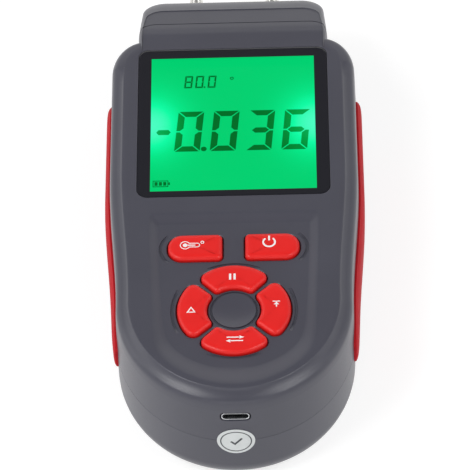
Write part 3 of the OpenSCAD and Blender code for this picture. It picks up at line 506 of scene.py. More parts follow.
# Share of the way in to the sloped face, and of the fall, from that face out to the upright walls
headShares = [
    (1.03, 0), (1, 0), (0.98, -0.03), (0.95, -0.025), (0.6, 0.08), (0.3, 0.24), (0.12, 0.48), (0.03, 0.76), (0, 1),
]


def headForm(name):
    rings = [headRing(max(0, s), 0, d * head["edgeDrop"]) for s, d in spline(headShares, 5)]
    rings += [headRing(0, inset, z=z) for inset, z in backRound]
    return ringStack(name, rings)


def headCavity():
    wall = head["wall"]
    rings = [headRing(share, wall, fall * head["edgeDrop"] + wall * (share > 0) + case["wall"] / 4)
             for share, fall in ((1, 0), (0.33, 0.3), (0, 1))]
    rings += [headRing(0, wall, z=case["backRadius"]), headRing(0, case["backRadius"] * 0.7, z=case["face"])]
    return ringStack("cavity", rings)


def planPrism(shift, low, high=60):
    # the front cover's share of the head, in plan
    radius = splitY - topY
    right = [(head["halfWidth"] + 2, headRootY - 2), (head["halfWidth"] + 2, topY + shift)]
    start = degrees(asin(max(0, shift) / (radius + shift)))
    right += arc((head["halfWidth"] - radius, topY), radius + shift, start, 90, 24)
    return ringStack("plan", [bothSides([(x, y, z) for x, y in right]) for z in (high, low)])


# Sizes of the keys: two with one round end, four that ring the disc, and the feet that press their domes
key = {
    "outerRadius": 13.2, "reach": 15.35, "inner": 7.3, "tip": 2.2, "root": 1.3, "flank": 47, "flankX": 5.6,
    "flankY": 6.6, "width": 14.8, "length": 8.8, "x": 10.5, "y": bottomY + 52.9, "endRadius": 4, "corner": 1.4,
    "rise": 0.2, "round": 1.3, "flange": 0.5, "flangeDepth": 1.2, "gap": 0.3, "footRadius": 3.2, "footZ": 30.1,
}
flankDir = np.array([cos(radians(key["flank"])), sin(radians(key["flank"]))])
flankNormal = np.array([flankDir[1], -flankDir[0]])
outerCentre = np.array([0, key["reach"] - key["outerRadius"]])


def onCircle(p, d, c, r):
    q = p - c
    b = q @ d
    return p + d * (sqrt(b * b - q @ q + r * r) - b)


flankPoint = np.array([key["flankX"], key["flankY"]])
tipCentre = onCircle(flankPoint - flankNormal * key["tip"], flankDir, outerCentre, key["outerRadius"] - key["tip"])
rootCentre = onCircle(flankPoint - flankNormal * key["root"], flankDir, np.zeros(2), key["inner"] + key["root"])
turnOf = lambda v: degrees(atan2(v[1], v[0]))


def ringKeyOutline(grow):
    tipTurn, flankTurn, rootTurn = turnOf(tipCentre - outerCentre), turnOf(flankNormal), turnOf(-rootCentre)
    half = arc(outerCentre, key["outerRadius"] + grow, 90, tipTurn, 20)
    half += arc(tipCentre, key["tip"] + grow, tipTurn - 4, flankTurn, 14)
    half += arc(rootCentre, key["root"] + grow, flankTurn, rootTurn, 10)
    half += arc((0, 0), key["inner"] - grow, turnOf(rootCentre) + 3, 90, 12)
    return half + [(-x, y) for x, y in reversed(half[1:-1])]


def upperKeyOutline(grow):
    w, l, e, c = key["width"], key["length"], key["endRadius"], key["corner"]
    corners = ((w / 2 - e, l / 2 - e, e, 90, 0, 14), (w / 2 - e, e - l / 2, e, 0, -90, 14),
               (c - w / 2, c - l / 2, c, -90, -180, 8), (c - w / 2, l / 2 - c, c, 180, 90, 8))
    return [p for x, y, r, start, stop, steps in corners for p in arc((x, y), r + grow, start, stop, steps)]


keyPlaces = {
    "temperature_key": ("upper", -1), "power_key": ("upper", 1), "hold_key": ("ring", 0),
    "difference_key": ("ring", 90), "maximum_key": ("ring", -90), "units_key": ("ring", 180),
}


def placeKey(kind, turn, points):
    placed = []
    for x, y, z in points:
        if kind == "upper":
            placed.append((turn * (key["x"] + x), key["y"] + y, z))
        else:
            c, s = cos(radians(turn)), sin(radians(turn))
            placed.append((c * x - s * y, ringY + s * x + c * y, z))
    return placed


def keyRings(kind, turn, heights):
    outline = upperKeyOutline if kind == "upper" else ringKeyOutline
    rings = []
    for grow, z in heights:
        ring = placeKey(kind, turn, [(x, y, z) for x, y in reversed(outline(grow))])
        rings.append(list(reversed(ring)) if kind == "upper" and turn < 0 else ring)
    return rings


def keyAxis(kind, turn, *heights):
    middle = 0 if kind == "upper" else (key["reach"] + key["inner"]) / 2
    return placeKey(kind, turn, [(0, middle, z) for z in heights])


# Half outlines of the keypad field, from the middle of the bottom: its top edge and its floor
field = {
    "top": [(0, -78), (5.3, -77.35), (9.6, -75.8), (14.3, -73), (18.6, -69), (21.2, -64.6), (22.1, -58), (22.4, -49),
            (22.75, -41), (23.2, -30), (23.4, -22), (23.3, -19.2), (22.6, -17.9)],
    "floor": [(0, -71.6), (5, -71), (9, -69.6), (12.8, -67.4), (16.1, -64.2), (18, -60.6), (18.9, -56), (19.5, -49),
              (19.9, -41), (20.35, -30), (20.5, -23), (20.4, -21.8), (19.8, -21.2)],
    "drop": 1.0,
}
dish = {"radius": 5.9, "depth": 0.7}
# Grooves round the disc, the ring of keys and the upper keys: middle, radius, turn, half span, half width, depth
grooves = [(0, ringY, 6.2, 180, 180, 0.36, 0.55)] + [(*place, 0.45, 0.5) for place in (
    (0, ringY, 16.7, 0, 26), (0, ringY, 16.05, 90, 26), (0, ringY, 16.7, 180, 26), (0, ringY, 16.3, 270, 26),
    (13.9, key["y"], 6.1, 0, 50), (-13.9, key["y"], 6.1, 180, 50),
)]
# Bosses: places, radius, foot, bore and its top
bosses = [(caseScrewSpots, 2.9, case["split"], 1.53, 24), (boardScrewSpots, 2.4, boardTop, 1.23, 32.1)]
display = {"y": window["y"] - 0.2, "width": 47.3, "length": 52.3, "top": 37, "pocketX": 26.15, "pocketY": 28.35}
socket = {
    "z": 28, "width": 7.5, "height": 2.6, "radius": 1.3, "skin": 0.3, "front": 0.5, "back": 6.4,
    "gap": 0.35, "slot": 7.75,
}
grip = {
    "at": bottomY + 29.1, "length": 88.5, "halfHeight": 7.5, "rise": 1.5, "seat": 0.9, "gap": 0.05,
    "blunt": 14, "upperBlunt": 30, "lowerBlunt": 7,
}


def fieldTool():
    # sides and ends of the field slope down to a flat floor, with a soft bend at each edge
    top, floor = spline(field["top"], 6), spline(field["floor"], 6)
    rings = []
    for t in np.linspace(1.25, 0, 16):
        rise = t if t > 1 else 0.5 * t + 0.5 * smoothStep(t)
        half = floor + (top - floor) * t
        half[0][0] = 0
        rings.append(bothSides([(x, y, fieldZ + rise * field["drop"]) for x, y in half]))
    return ringStack("field", rings)


def frontCover():
    wall, lip, foot = case["wall"], case["seamEdge"], case["split"] + case["seam"]
    cover = ringStack("front_shell", bandRows() + [bodyRing(0, foot + lip), bodyRing(lip, foot)])
    combine(cover, combine(headForm("headFront"), planPrism(-head["seam"], foot), "INTERSECT"), "UNION")
    levels = [(case["bandWidth"] + wall, ceilingZ), (case["bandWidth"], ceilingZ - wall / 3),
              (wall * 1.25, ceilingZ - wall), (wall, case["rebate"][0]), *((wall / 2, z) for z in case["rebate"])]
    combine(cover, bodyStack("cavity", levels))
    combine(cover, headCavity())
    for spots, radius, low, bore, top in bosses:
        for x, y in spots:
            combine(cover, lathe("boss", [(radius, ceilingZ + 0.05), (radius, low + 0.05)], (x, y, 0), 48), "UNION")
            combine(cover, lathe("bore", [(bore, top), (bore, low - 1)], (x, y, 0), 32))
    combine(cover, fieldTool())
    flare = [(0.5, 0.35), (0.25, 0.02), (0.07, -0.1), (0, -0.3), (0, ceilingZ - 1 - fieldZ)]
    for place in keyPlaces.values():
        rings = keyRings(*place, [(key["gap"] + grow, fieldZ + z) for grow, z in flare])
        ends = keyAxis(*place, fieldZ + flare[0][1], fieldZ + flare[-1][1])
        combine(cover, fanStack("keyHole", rings, *ends))
    # dished disc and the grooves
    radius = (dish["radius"] ** 2 + dish["depth"] ** 2) / (2 * dish["depth"])
    profile = [(radius * sin(a), fieldZ - dish["depth"] + radius * (1 - cos(a))) for a in np.linspace(0.34, 0.008, 16)]
    combine(cover, lathe("dish", profile, (0, ringY, 0), 128))
    for groove in grooves:
        combine(cover, grooveRing(*groove))
    # window seat, the opening under it, the display's pocket, and the socket's slot
    combine(cover, layers("seat", [
        (window["width"] + 2 * grow, window["length"] + 2 * grow, window["radius"], window["y"], faceZ + z)
        for grow, z in window["seat"]
    ]))
    combine(cover, layers("opening", [
        (display["width"], display["length"], 1, display["y"], z) for z in (display["top"], ceilingZ - 1)
    ]))
    low = (-display["pocketX"], display["y"] - display["pocketY"], boardTop)
    combine(cover, boxMesh("pocket", low, (display["pocketX"], display["y"] + display["pocketY"], ceilingZ + 0.2)))
    combine(cover, socketTube("slot", [(-socket["gap"], socket["radius"], bottomY + y) for y in (-1, socket["slot"])]))
    return cover


def grooveRing(x, y, radius, turn, span, half, depth):
    # a shallow groove with steep sides, swept round an arc
    slope = fieldZ - depth * 0.85
    section = [(half + 0.12, fieldZ + 0.25), (-half - 0.12, fieldZ + 0.25), (-half, fieldZ), (-half * 0.8, slope),
               (0, fieldZ - depth), (half * 0.8, slope), (half, fieldZ)]
    closed = span == 180
    steps = 160 if closed else 64
    count = steps if closed else steps + 1
    points = []
    for i in range(count):
        a = radians(turn - span + 2 * span * i / steps)
        fade = 1 if closed else min(1, 0.25 + 6 * min(i, steps - i) / steps)
        for r, z in section:
            z = z if z >= fieldZ else fieldZ + (z - fieldZ) * fade
            points.append((x + (radius + r) * cos(a), y + (radius + r) * sin(a), z))
    return turnedOut(newObject("groove", points, sweepFaces(len(section), count, closed)))


def socketTube(name, plans, material=None):
    # rounded rectangles (inset, radius, y) round the socket's axis
    width, height, z = socket["width"], socket["height"], socket["z"]
    rings = [[(x, y, z + up) for x, up in roundRect(width - 2 * inset, height - 2 * inset, r)] for inset, r, y in plans]
    return turnedOut(fanStack(name, rings, (0, plans[0][2], z), (0, plans[-1][2], z), material))


def gripSolid(name, side, gap):
    rings = []
    steps = 120
    for i in range(steps + 1):
        t = (1 - cos(pi * i / steps)) / 2
        end = abs(2 * t - 1)
        y = grip["at"] + (grip["length"] + 2 * gap) * t - gap
        h = grip["halfHeight"] * (0.3 + 0.7 * sqrt(1 - end ** grip["blunt"])) + gap
        rise = grip["rise"] * (0.15 + 0.85 * sqrt(1 - end ** grip["upperBlunt" if t > 0.5 else "lowerBlunt"]))
        x = sideX(y)
        ring = [(x - grip["seat"] - gap, h), (x - grip["seat"] - gap, -h)]
        ring += [(x + rise * (0.2 + 0.8 * (1 - abs(u) ** 4.5)), h * u) for u in np.linspace(-1, 1, 21)]
        rings.append([(side * px, y, case["split"] + pz) for px, pz in ring])
    ends = [(side * (sideX(y) - 0.3), y, case["split"]) for y in (grip["at"] - gap, grip["at"] + grip["length"] + gap)]
    return turnedOut(fanStack(name, rings, *ends))


# Inside of the rear cover: columns and counterbores for the screws, and ribs at both ends of the battery
rear = {
    "cavity": [(case["wall"], 20.2), (case["wall"], 8.8), (5.25, case["face"])], "tongue": (19.1, 17),
    "column": 3.6, "columnTop": 17.95, "floor": 1.3, "battery": bottomY + 44, "batteryHalf": 26.4,
    "ribX": 17, "ribHalf": 0.7, "ribTop": 9.3, "portDepth": 3.4,
    "mouth": [(1.7, 19), (1.7, 9), (2.5, 9), (2.5, 0.3), (2.58, 0.12), (2.75, 0.0), (3.1, -0.4)],
}


def rearCover():
    lip, top = case["seamEdge"], case["split"] - case["seam"]
    cover = bodyStack("rear_shell", [(lip, top), (0, top - lip)] + backRound)
    combine(cover, combine(headForm("headRear"), planPrism(head["seam"], top)), "UNION")
    combine(cover, bodyStack("tongue", [(case["wall"] / 2 + 0.1, z) for z in rear["tongue"]]), "UNION")
    combine(cover, bodyStack("cavity", rear["cavity"]))
    combine(cover, headCavity())
    for x, y in caseScrewSpots:
        column = [(rear["column"], z) for z in (rear["columnTop"], rear["floor"])]
        combine(cover, lathe("column", column, (x, y, 0), 48), "UNION")
    for s in (-1, 1):
        y = rear["battery"] + s * rear["batteryHalf"]
        low = (-rear["ribX"], y - rear["ribHalf"], rear["floor"])
        combine(cover, boxMesh("rib", low, (rear["ribX"], y + rear["ribHalf"], rear["ribTop"])), "UNION")
    for x, y in caseScrewSpots:
        combine(cover, lathe("counterbore", rear["mouth"], (x, y, 0), 64))
    for s in (-1, 1):
        hole = [(port["hole"], 1), (port["hole"], -rear["portDepth"])]
        combine(cover, lathe("portHole", hole, (s * port["x"], endY, port["z"]), 64, "Y"))
    return cover


for build, node in ((frontCover, "front_cover"), (rearCover, "rear_cover")):
    shell = build()
    for s in (-1, 1):
        combine(shell, gripSolid("seat", s, grip["gap"]))
    finishMesh(shell, absHousing)
    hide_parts(node)
    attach(shell, "case")
    print(node, "made:", len(shell.data.polygons), "faces")

for side, name in ((-1, "left_grip"), (1, "right_grip")):
    piece = gripSolid(name + "_rubber", side, 0)
    finishMesh(piece, gripRubber, 40)
    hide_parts(name)
    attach(piece, "case")
print("grips made")


def makeKey(name, place, body):
    top, r = faceZ + key["rise"], key["round"]
    heights = [(-r * 1.6, top + 0.05), (-r * 1.2, top + 0.035)]
    heights += [(-r * (1 - sin(a)), top - r * (1 - cos(a)) * 0.85) for a in np.linspace(0, pi / 2, 9)]
    heights += [(0, ceilingZ - 0.05), (key["flange"], ceilingZ - 0.05), (key["flange"], ceilingZ - key["flangeDepth"])]
    up, down, foot = keyAxis(*place, top + 0.06, heights[-1][1], 0)
    piece = fanStack(name + "_cap", keyRings(*place, heights), up, down)
    post = [(key["footRadius"], ceilingZ - 0.6), (key["footRadius"], key["footZ"])]
    combine(piece, lathe("foot", post, foot, 48), "UNION")
    finishMesh(piece, siliconeKey, 40)
    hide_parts(name)
    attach(piece, body)


dome = {"web": 27.9, "top": 30.1, "outer": 4.9, "crown": 3.5, "skin": 0.5, "keep": 0.53}


def makeDome(stem, place):
    # the keypad's dome under a key: a thin silicone skin, made as a fixed shape on the case
    crown, skin, outer, top, web = (dome[part] for part in ("crown", "skin", "outer", "top", "web"))
    profile = [(crown - 0.3, top), (crown - 0.08, top - 0.05), (crown, top - 0.2), (outer, web + 0.06),
               (outer, web), (outer - skin, web), (crown - skin, top - skin)]
    piece = lathe(stem + "_web_dome", profile, keyAxis(*place, 0)[0], 64, "Z", siliconeKey)
    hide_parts(stem + "_dome")
    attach(piece, "case")
    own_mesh(piece)


for name, place in keyPlaces.items():
    stem = name.removesuffix("_key")
    makeKey(name, place, stem + "_button")
    makeDome(stem, place)
print("keys made:", len(keyPlaces))

windowPane = layers("window_pane", [
    (window["width"] + 2 * grow, window["length"] + 2 * grow, window["radius"] + grow, window["y"], faceZ + z)
    for grow, z in window["edge"]
], acrylicWindow)
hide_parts("display_window")
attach(windowPane, "case")

# The cell: width, length, radius and height, the narrower glass on top
cell = [(47, 52, 0.6, 34.4), (47, 52, 0.6, 32.95), (49.6, 54, 0.5, 32.95), (49.6, 54, 0.5, 30.15)]
crystalCell = layers("crystal_cell", [(w, l, r, display["y"], z) for w, l, r, z in cell], crystalDisplay)
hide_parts("lcd_glass")
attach(crystalCell, "case")


def lineEdges(path, width, closed):
    # left and right edge of a line of one width, with mitred corners
    p = np.array(path, float)
    ahead = np.roll(p, -1, 0) - p
    if not closed:
        ahead[-1] = ahead[-2]
    ahead = ahead / np.linalg.norm(ahead, axis=1)[:, None]
    behind = np.roll(ahead, 1, 0)
    if not closed:
        behind[0] = ahead[0]
    middle = ahead + behind
    middle = middle / np.linalg.norm(middle, axis=1)[:, None]
    left = np.c_[-middle[:, 1], middle[:, 0]]
    share = width / 2 / (left * np.c_[-ahead[:, 1], ahead[:, 0]]).sum(axis=1)
    return p + left * share[:, None], p - left * share[:, None]


def flatPiece(name, areas, lines, low, top, material, place=lambda x, y, level: (x, y, level)):
    # areas: outlines; lines: (path, width, closed); all raised from low to top
    points, faces = [], []
    for outline in areas:
        turning = sum(x0 * y1 - x1 * y0 for (x0, y0), (x1, y1) in zip(outline, outline[1:] + outline[:1]))
        ring = outline if turning > 0 else outline[::-1]
        faces += sweepFaces(len(ring), 2, False, len(points))
        points += [place(x, y, level) for level in (low, top) for x, y in ring]
    for path, width, closed in lines:
        left, right = lineEdges(path, width, closed)
        faces += sweepFaces(4, len(path), closed, len(points))
        points += [place(x, y, level) for a, b in zip(left, right)
                   for (x, y), level in ((a, top), (b, top), (b, low), (a, low))]
    return newObject(name, points, faces, material)


def digitAreas(digit, left, foot, size):
    # seven bars with mitred ends, leaning to the right
    w, h, t, q = size["width"], size["height"], size["bar"], size["gap"]
    m = h / 2
    bars = {
        "foot": [(q, 0), (w - q, 0), (w - t - q, t), (t + q, t)],
        "middle": [(t / 2 + q, m), (t + q, m - t / 2), (w - t - q, m - t / 2),
                   (w - t / 2 - q, m), (w - t - q, m + t / 2), (t + q, m + t / 2)],
        "downLeft": [(0, q), (t, t + q), (t, m - t / 2 - q), (t / 2, m - q), (0, m - q)],
    }
    bars["top"], bars["upLeft"] = ([(x, h - y) for x, y in bars[name]] for name in ("foot", "downLeft"))
    bars["upRight"], bars["downRight"] = ([(w - x, y) for x, y in bars[name]] for name in ("upLeft", "downLeft"))
    missing = {"0": ["middle"], "3": ["upLeft", "downLeft"], "6": ["upRight"], "8": []}[digit]
    shown = [bar for name, bar in bars.items() if name not in missing]
    return [[(left + x + size["lean"] * y, foot + y) for x, y in bar] for bar in shown]


# Reading, temperature and charge level on the display: plain digits, a minus, points and a degree ring
reading = {
    "large": {"width": 7.2, "height": 14.92, "bar": 1.9, "gap": 0.28, "lean": 0.085},
    "small": {"width": 2.25, "height": 4.6, "bar": 0.5, "gap": 0.07, "lean": 0.085},
    "digits": [("large", d, -16.56 + 9.98 * k, 5.9) for k, d in enumerate("0036")]
    + [("small", d, x, 29.85) for x, d in ((-13.85, "8"), (-10.74, "0"), (-7.23, "0"))],
    "minus": [(-21.55, 13.2), (-20.9, 12.3), (-18.15, 12.3), (-17.5, 13.2), (-18.15, 14.1), (-20.9, 14.1)],
    "points": [(-8.24, 6.72, 0.82), (-8.05, 30.1, 0.28)], "degree": (-0.3, 33.3, 0.42),
    "bars": [(-21.85, -6.5, 0.85, 1.3), (-20.65, -6.5, 0.85, 1.3), (-19.45, -6.5, 0.85, 1.3), (-18.0, -6.3, 0.4, 0.9)],
    "battery": [(-22.25, -6.9), (-18.15, -6.9), (-18.15, -4.8), (-22.25, -4.8)],
}
areas = [reading["minus"]] + [disc(x, y, r) for x, y, r in reading["points"]]
for size, digit, x, y in reading["digits"]:
    areas += digitAreas(digit, x, y, reading[size])
areas += [[(x, y), (x + w, y), (x + w, y + h), (x, y + h)] for x, y, w, h in reading["bars"]]
lines = [(reading["battery"], 0.22, True), (disc(*reading["degree"]), 0.24, True)]
segments = flatPiece("display_segments", areas, lines, cell[0][3], cell[0][3] + 0.06, crystalSegments)
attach(segments, "case")

thermometer = arc((-1.75, 0), 1.3, 30, 330, 24) + arc((1.55, 0), 0.65, -90, 90, 10)
powerArc = arc((0, -0.25), 1.6, 128, 412, 39)
legends = {  # middle on the face, areas, lines
    "temperature": (
        -11.45, -29.83, [disc(-1.75, 0, 0.62), [(-1.1, -0.17), (1.0, -0.17), (1.0, 0.17), (-1.1, 0.17)]],
        [(thermometer, 0.24, True), (disc(2.95, 0.95, 0.4), 0.24, True)]),
    "power": (9.65, -29.05, [], [(powerArc, 0.5, False), ([(0, 0.35), (0, 2.0)], 0.5, False)]),
    "hold": (-0.4, -41.25, [], [([(s * 0.6, -1.05), (s * 0.6, 1.05)], 0.6, False) for s in (-1, 1)]),
    "units": (
        0.2, -62.8, [[(s * 1.2, s * 0.05), (s * 2.4, s * 0.6), (s * 1.2, s * 1.15)] for s in (-1, 1)],
        [([(-s * 2.2, s * 0.6), (s * 1.3, s * 0.6)], 0.34, False) for s in (-1, 1)]),
    "difference": (-11.5, -52.5, [], [([(-1.0, -0.8), (1.0, -0.8), (0, 0.85)], 0.3, True)]),
    "maximum": (
        11.4, -51, [[(-0.75, -0.25), (0.75, -0.25), (0, 0.65)]],
        [([(-1.0, 0.85), (1.0, 0.85)], 0.3, False), ([(0, -1.0), (0, -0.2)], 0.34, False)]),
}
for name, (x, y, areas, lines) in legends.items():
    top = faceZ + key["rise"] + 0.085
    place = lambda px, py, level: (x + px, y + py, level)
    mark = flatPiece(name + "_legend", areas, lines, top - 0.12, top, whiteInk, place)
    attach(mark, name + "_button")
print("display, segments and legends made:", 2 + len(legends))

# The socket's metal shell, from its inner end round the lip to its outer skin
front, back, skin = bottomY + socket["front"], bottomY + socket["back"], socket["skin"]
shell = socketTube("socket_shell", [(inset, max(0.3, socket["radius"] - 0.15 - inset), y) for inset, y in (
    (skin, back - 0.4), (skin, front + 0.12), (skin - 0.08, front + 0.02), (0.08, front), (0, front + 0.1), (0, back),
)], tinnedSteel)
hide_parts("usb_shell")
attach(shell, "case")

# Paper seal on the bottom end, with a plain ring and a tick
seal = {
    "x": -0.1, "z": 17.86, "radius": 5.1, "level": 0.13, "ring": 4.1, "ringWidth": 0.32,
    "tick": [(-1.5, 17.9), (-0.4, 16.8), (1.5, 19.2)], "tickWidth": 0.6,
    "edge": [(0.3, 1), (0.6, 1), (0.85, 1), (0.98, 1), (1, 0.8), (1, -0.3)],  # shares of the radius and the thickness
}


def onEndWall(x, z, level):
    y = float(np.interp(abs(x), *bodyLine[:endRows].T))
    return (x, y - level, z)


rings = [[onEndWall(x, z, level * seal["level"]) for x, z in disc(seal["x"], seal["z"], seal["radius"] * share, 64)]
         for share, level in seal["edge"]]
middles = [onEndWall(seal["x"], seal["z"], level * seal["level"]) for level in (1, -0.3)]
sealDisc = fanStack("paper_seal", rings, *middles, paperSeal)
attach(sealDisc, "case")
sealRing = disc(seal["x"], seal["z"], seal["ring"], 64)
lines = [(sealRing, seal["ringWidth"], True), (seal["tick"], seal["tickWidth"], False)]
sealPrint = flatPiece("paper_seal_print", [], lines, seal["level"] - 0.02, seal["level"] + 0.02, sealInk, onEndWall)
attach(sealPrint, "case")
print("socket shell and paper seal made")

screwParts = ("Head Radius", "Head Height", "Shank Radius", "Length", "Recess Width", "Recess Depth")
screws = {  # node that they replace, the parts' sizes, places, height of the heads
    "cover_screws": ("case_screws", (2.3, 2, 1.5, 15, 2.7, 1.1), caseScrewSpots, 7),
    "circuit_screws": ("board_screws", (2.3, 1.5, 1.2, 5.7, 2.4, 0.8), boardScrewSpots, 23.6),
}


def screwNodes():
    # at each point a bevelled pan head with a cross recess, outer face at zero, and its shank above
    tree = bpy.data.node_groups.new("cross_recess_screws", "GeometryNodeTree")
    add = partial(addNode, tree)
    sockets = [("Geometry", "INPUT", "Geometry"), *((part, "INPUT", "Float") for part in screwParts),
               ("Material", "INPUT", "Material"), ("Geometry", "OUTPUT", "Geometry")]
    for name, way, kind in sockets:
        tree.interface.new_socket(name, in_out=way, socket_type="NodeSocket" + kind)
    given = add("NodeGroupInput").outputs
    turned, arms = [], []
    # rim, drum and shank: radius, share of it at the foot, height, share of it, lift as a share of the head
    for radius, foot, height, share, lift in (
        ("Head Radius", 0.82, "Head Height", 0.4, 0), ("Head Radius", 1, "Head Height", 0.65, 0.35),
        ("Shank Radius", 1, "Length", 0.92, 0.5),
    ):
        low, tall, up = (add("ShaderNodeMath", {0: given[size], 1: part}, operation="MULTIPLY")
                         for size, part in ((radius, foot), (height, share), ("Head Height", lift)))
        cone = add("GeometryNodeMeshCone", {
            "Vertices": 48, "Radius Top": given[radius], "Radius Bottom": low, "Depth": tall,
        })
        place = add("ShaderNodeCombineXYZ", {"Z": up})
        turned.append(add("GeometryNodeTransform", {"Geometry": cone, "Translation": place}))
    solid = add("GeometryNodeMeshBoolean", {"Mesh 2": turned}, operation="UNION", solver="EXACT")
    width, depth = given["Recess Width"], given["Recess Depth"]
    recess = add("ShaderNodeCombineXYZ", {"X": width, "Y": width, "Z": depth})
    for shares in ((1, 0.24, 2), (0.24, 1, 2)):
        size = add("ShaderNodeVectorMath", {0: recess, 1: shares}, operation="MULTIPLY")
        arms.append(add("GeometryNodeMeshCube", {"Size": size}))
    cut = add("GeometryNodeMeshBoolean", {"Mesh 1": solid, "Mesh 2": arms}, operation="DIFFERENCE", solver="EXACT")
    placed = add("GeometryNodeInstanceOnPoints", {"Points": given["Geometry"], "Instance": cut})
    whole = add("GeometryNodeRealizeInstances", {"Geometry": placed})
    dressed = add("GeometryNodeSetMaterial", {"Geometry": whole, "Material": given["Material"]})
    add("NodeGroupOutput", {"Geometry": dressed})
    return tree


screwTree = screwNodes()
for name, (node, sizes, spots, height) in screws.items():
    piece = newObject(name, [(x, y, height) for x, y in spots], [])
    modifier = piece.modifiers.new("screws", "NODES")
    modifier.node_group = screwTree
    given = {"Material": zincSteel, **{part: size * mm for part, size in zip(screwParts, sizes)}}
    for item in screwTree.interface.items_tree:
        if item.name in given:
            modifier[item.identifier] = given[item.name]
    bakeModifiers(piece)
    finishMesh(piece, zincSteel)
    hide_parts(node)
    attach(piece, "case")
print("screws made:", len(caseScrewSpots) + len(boardScrewSpots))

# The nodes carried over from the solids, by their finish
carried = {
    whitePlastic: ("lcd_frame", "backlight_panel", "battery_connector"), rubberSeal: ("zebra_strip", "port_seals"),
    siliconeKey: ("keypad_sheet", "battery_leads"), pouchFoil: ("battery_cell", "board_capacitors"),
    solderMask: ("main_board",), foamPad: ("battery_pad",),
    blackPlastic: ("usb_tongue", "pressure_sensor", "processor_chip", "charger_chip", "buzzer"),
    nickelBrass: ("positive_port", "negative_port", "port_nuts"), siliconeHose: ("positive_hose", "negative_hose"),
}
for material, names in carried.items():
    for name in names:
        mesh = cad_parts[name].data
        mesh.materials.clear()
        mesh.materials.append(material)
print("carried-over nodes dressed:", sum(len(names) for names in carried.values()))

studio = {
    "floor": 3000, "floorZ": -0.1, "floorGlow": 0.72, "floorPaint": 0.42, "lampPaint": 0.8,
    "sky": [(0.0, 0.7), (1.0, 0.12), (0.2, 0.8), (0.36, 0.75), (0.5, 0.4), (0.66, 0.14)],  # sine of the height, level
}


def stageMaterial():
    # A pale sweep: the camera and mirrors see it near white, other rays its paint alone
    material, add, coords = newMaterial("pale_studio_floor")
    path = add("ShaderNodeLightPath").outputs
    seen = path["Is Camera Ray"]
    for ray in ("Is Glossy Ray", "Is Transmission Ray"):
        seen = add("ShaderNodeMath", {0: seen, 1: path[ray]}, operation="MAXIMUM")
    grain = add("ShaderNodeTexNoise", {"Vector": coords, "Scale": 40.0})
    rough = add("ShaderNodeMapRange", {"Value": grain, "To Min": 0.75, "To Max": 0.85})
    paint, faint = (add("ShaderNodeBsdfPrincipled", {
        "Base Color": (studio[level],) * 3 + (1,), "Roughness": rough, "Specular IOR Level": 0.0,
    }) for level in ("lampPaint", "floorPaint"))
    white = add("ShaderNodeEmission", {"Color": (1, 1, 1, 1), "Strength": studio["floorGlow"]})
    both = add("ShaderNodeAddShader", {0: faint, 1: white})
    mix = add("ShaderNodeMixShader", {0: seen, 1: paint, 2: both})
    add("ShaderNodeOutputMaterial", {"Surface": mix})
    return material


half = studio["floor"]
corners = [(x, y, studio["floorZ"]) for x, y in ((-half, -half), (half, -half), (half, half), (-half, half))]
floor = newObject("studio_floor", corners, [(0, 1, 2, 3)], stageMaterial())

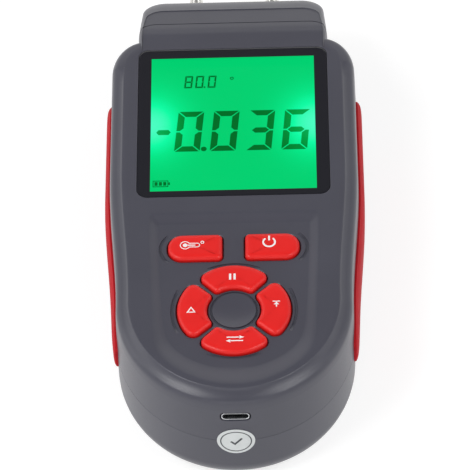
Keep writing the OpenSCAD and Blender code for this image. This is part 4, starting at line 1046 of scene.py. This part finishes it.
# White all round to the camera; for light, a bright belt above the horizon and dim overhead
world = bpy.data.worlds.new("studio_world")
bpy.context.scene.world = world
world.use_nodes = True
world.node_tree.nodes.clear()
add = partial(addNode, world.node_tree)
path = add("ShaderNodeLightPath").outputs
rays = {0: path["Is Camera Ray"], 1: path["Is Transmission Ray"]}
seen = add("ShaderNodeMath", rays, operation="MAXIMUM")
ray = add("ShaderNodeSeparateXYZ", {"Vector": add("ShaderNodeTexCoord").outputs["Generated"]})
sky = add("ShaderNodeValToRGB", {"Fac": ray.outputs["Z"]})
fillRamp(sky, [(at, (level,) * 3 + (1,)) for at, level in studio["sky"]])
strength = add("ShaderNodeMapRange", {"Value": seen, "To Min": sky, "To Max": 1.0})
background = add("ShaderNodeBackground", {"Color": (1, 1, 1, 1), "Strength": strength})
add("ShaderNodeOutputWorld", {"Surface": background})

# Softboxes: place and aim, width and height in metres, watts
softboxes = {
    "left_front_softbox": ((-0.375, -0.26, 0.59), (0, 0, 0.02), 0.28, 0.28, 2.15),
    "right_front_softbox": ((0.375, -0.26, 0.59), (0, 0, 0.02), 0.28, 0.28, 1.5),
    "left_softbox": ((-0.5, 0.05, 0.3), (0, 0, 0.02), 0.3, 0.5, 0.6),
    "right_softbox": ((0.65, 0.05, 0.35), (0, 0, 0.02), 0.35, 0.6, 0.4),
    "front_softbox": ((0, -0.75, 0.3), (0, -0.05, 0.02), 0.6, 0.25, 0.45),
    "rear_strip": ((0, 0.93, 0.66), (0, 0.05, 0.02), 1.6, 0.14, 1.3),
}
for name, (place, aim, width, height, watts) in softboxes.items():
    lamp = bpy.data.lights.new(name, "AREA")
    lamp.shape, lamp.size, lamp.size_y, lamp.energy = "RECTANGLE", width, height, watts
    box = placeObject(name, lamp)
    box.location = place
    box.rotation_mode = "QUATERNION"
    box.rotation_quaternion = (Vector(aim) - Vector(place)).to_track_quat("-Z", "Y")
print("floor, world and softboxes made:", len(softboxes))

# Camera fitted to the photo: 49.65 degrees up, turned 1.71 and rolled -2.57 degrees, 1 m from a point on the face
shot = {
    "elevation": 49.65, "yaw": 1.71, "roll": -2.57, "target": (0, -0.0261, 0.036),
    "place": (0.000382, -0.000164, 1.0), "lens": 3668 / 470 * 36,
}
elevation, yaw, roll = (radians(shot[turn]) for turn in ("elevation", "yaw", "roll"))
lens = bpy.data.cameras.new("camera")
lens.lens, lens.sensor_width, lens.clip_start, lens.clip_end = shot["lens"], 36, 0.05, 20
camera = placeObject("camera", lens)
turned = Matrix.Rotation(yaw, 4, "Z") @ Matrix.Rotation(pi / 2 - elevation, 4, "X") @ Matrix.Rotation(roll, 4, "Z")
camera.matrix_world = Matrix.Translation(shot["target"]) @ turned @ Matrix.Translation(shot["place"])
bpy.context.scene.camera = camera
bpy.context.scene.view_settings.view_transform = "Standard"
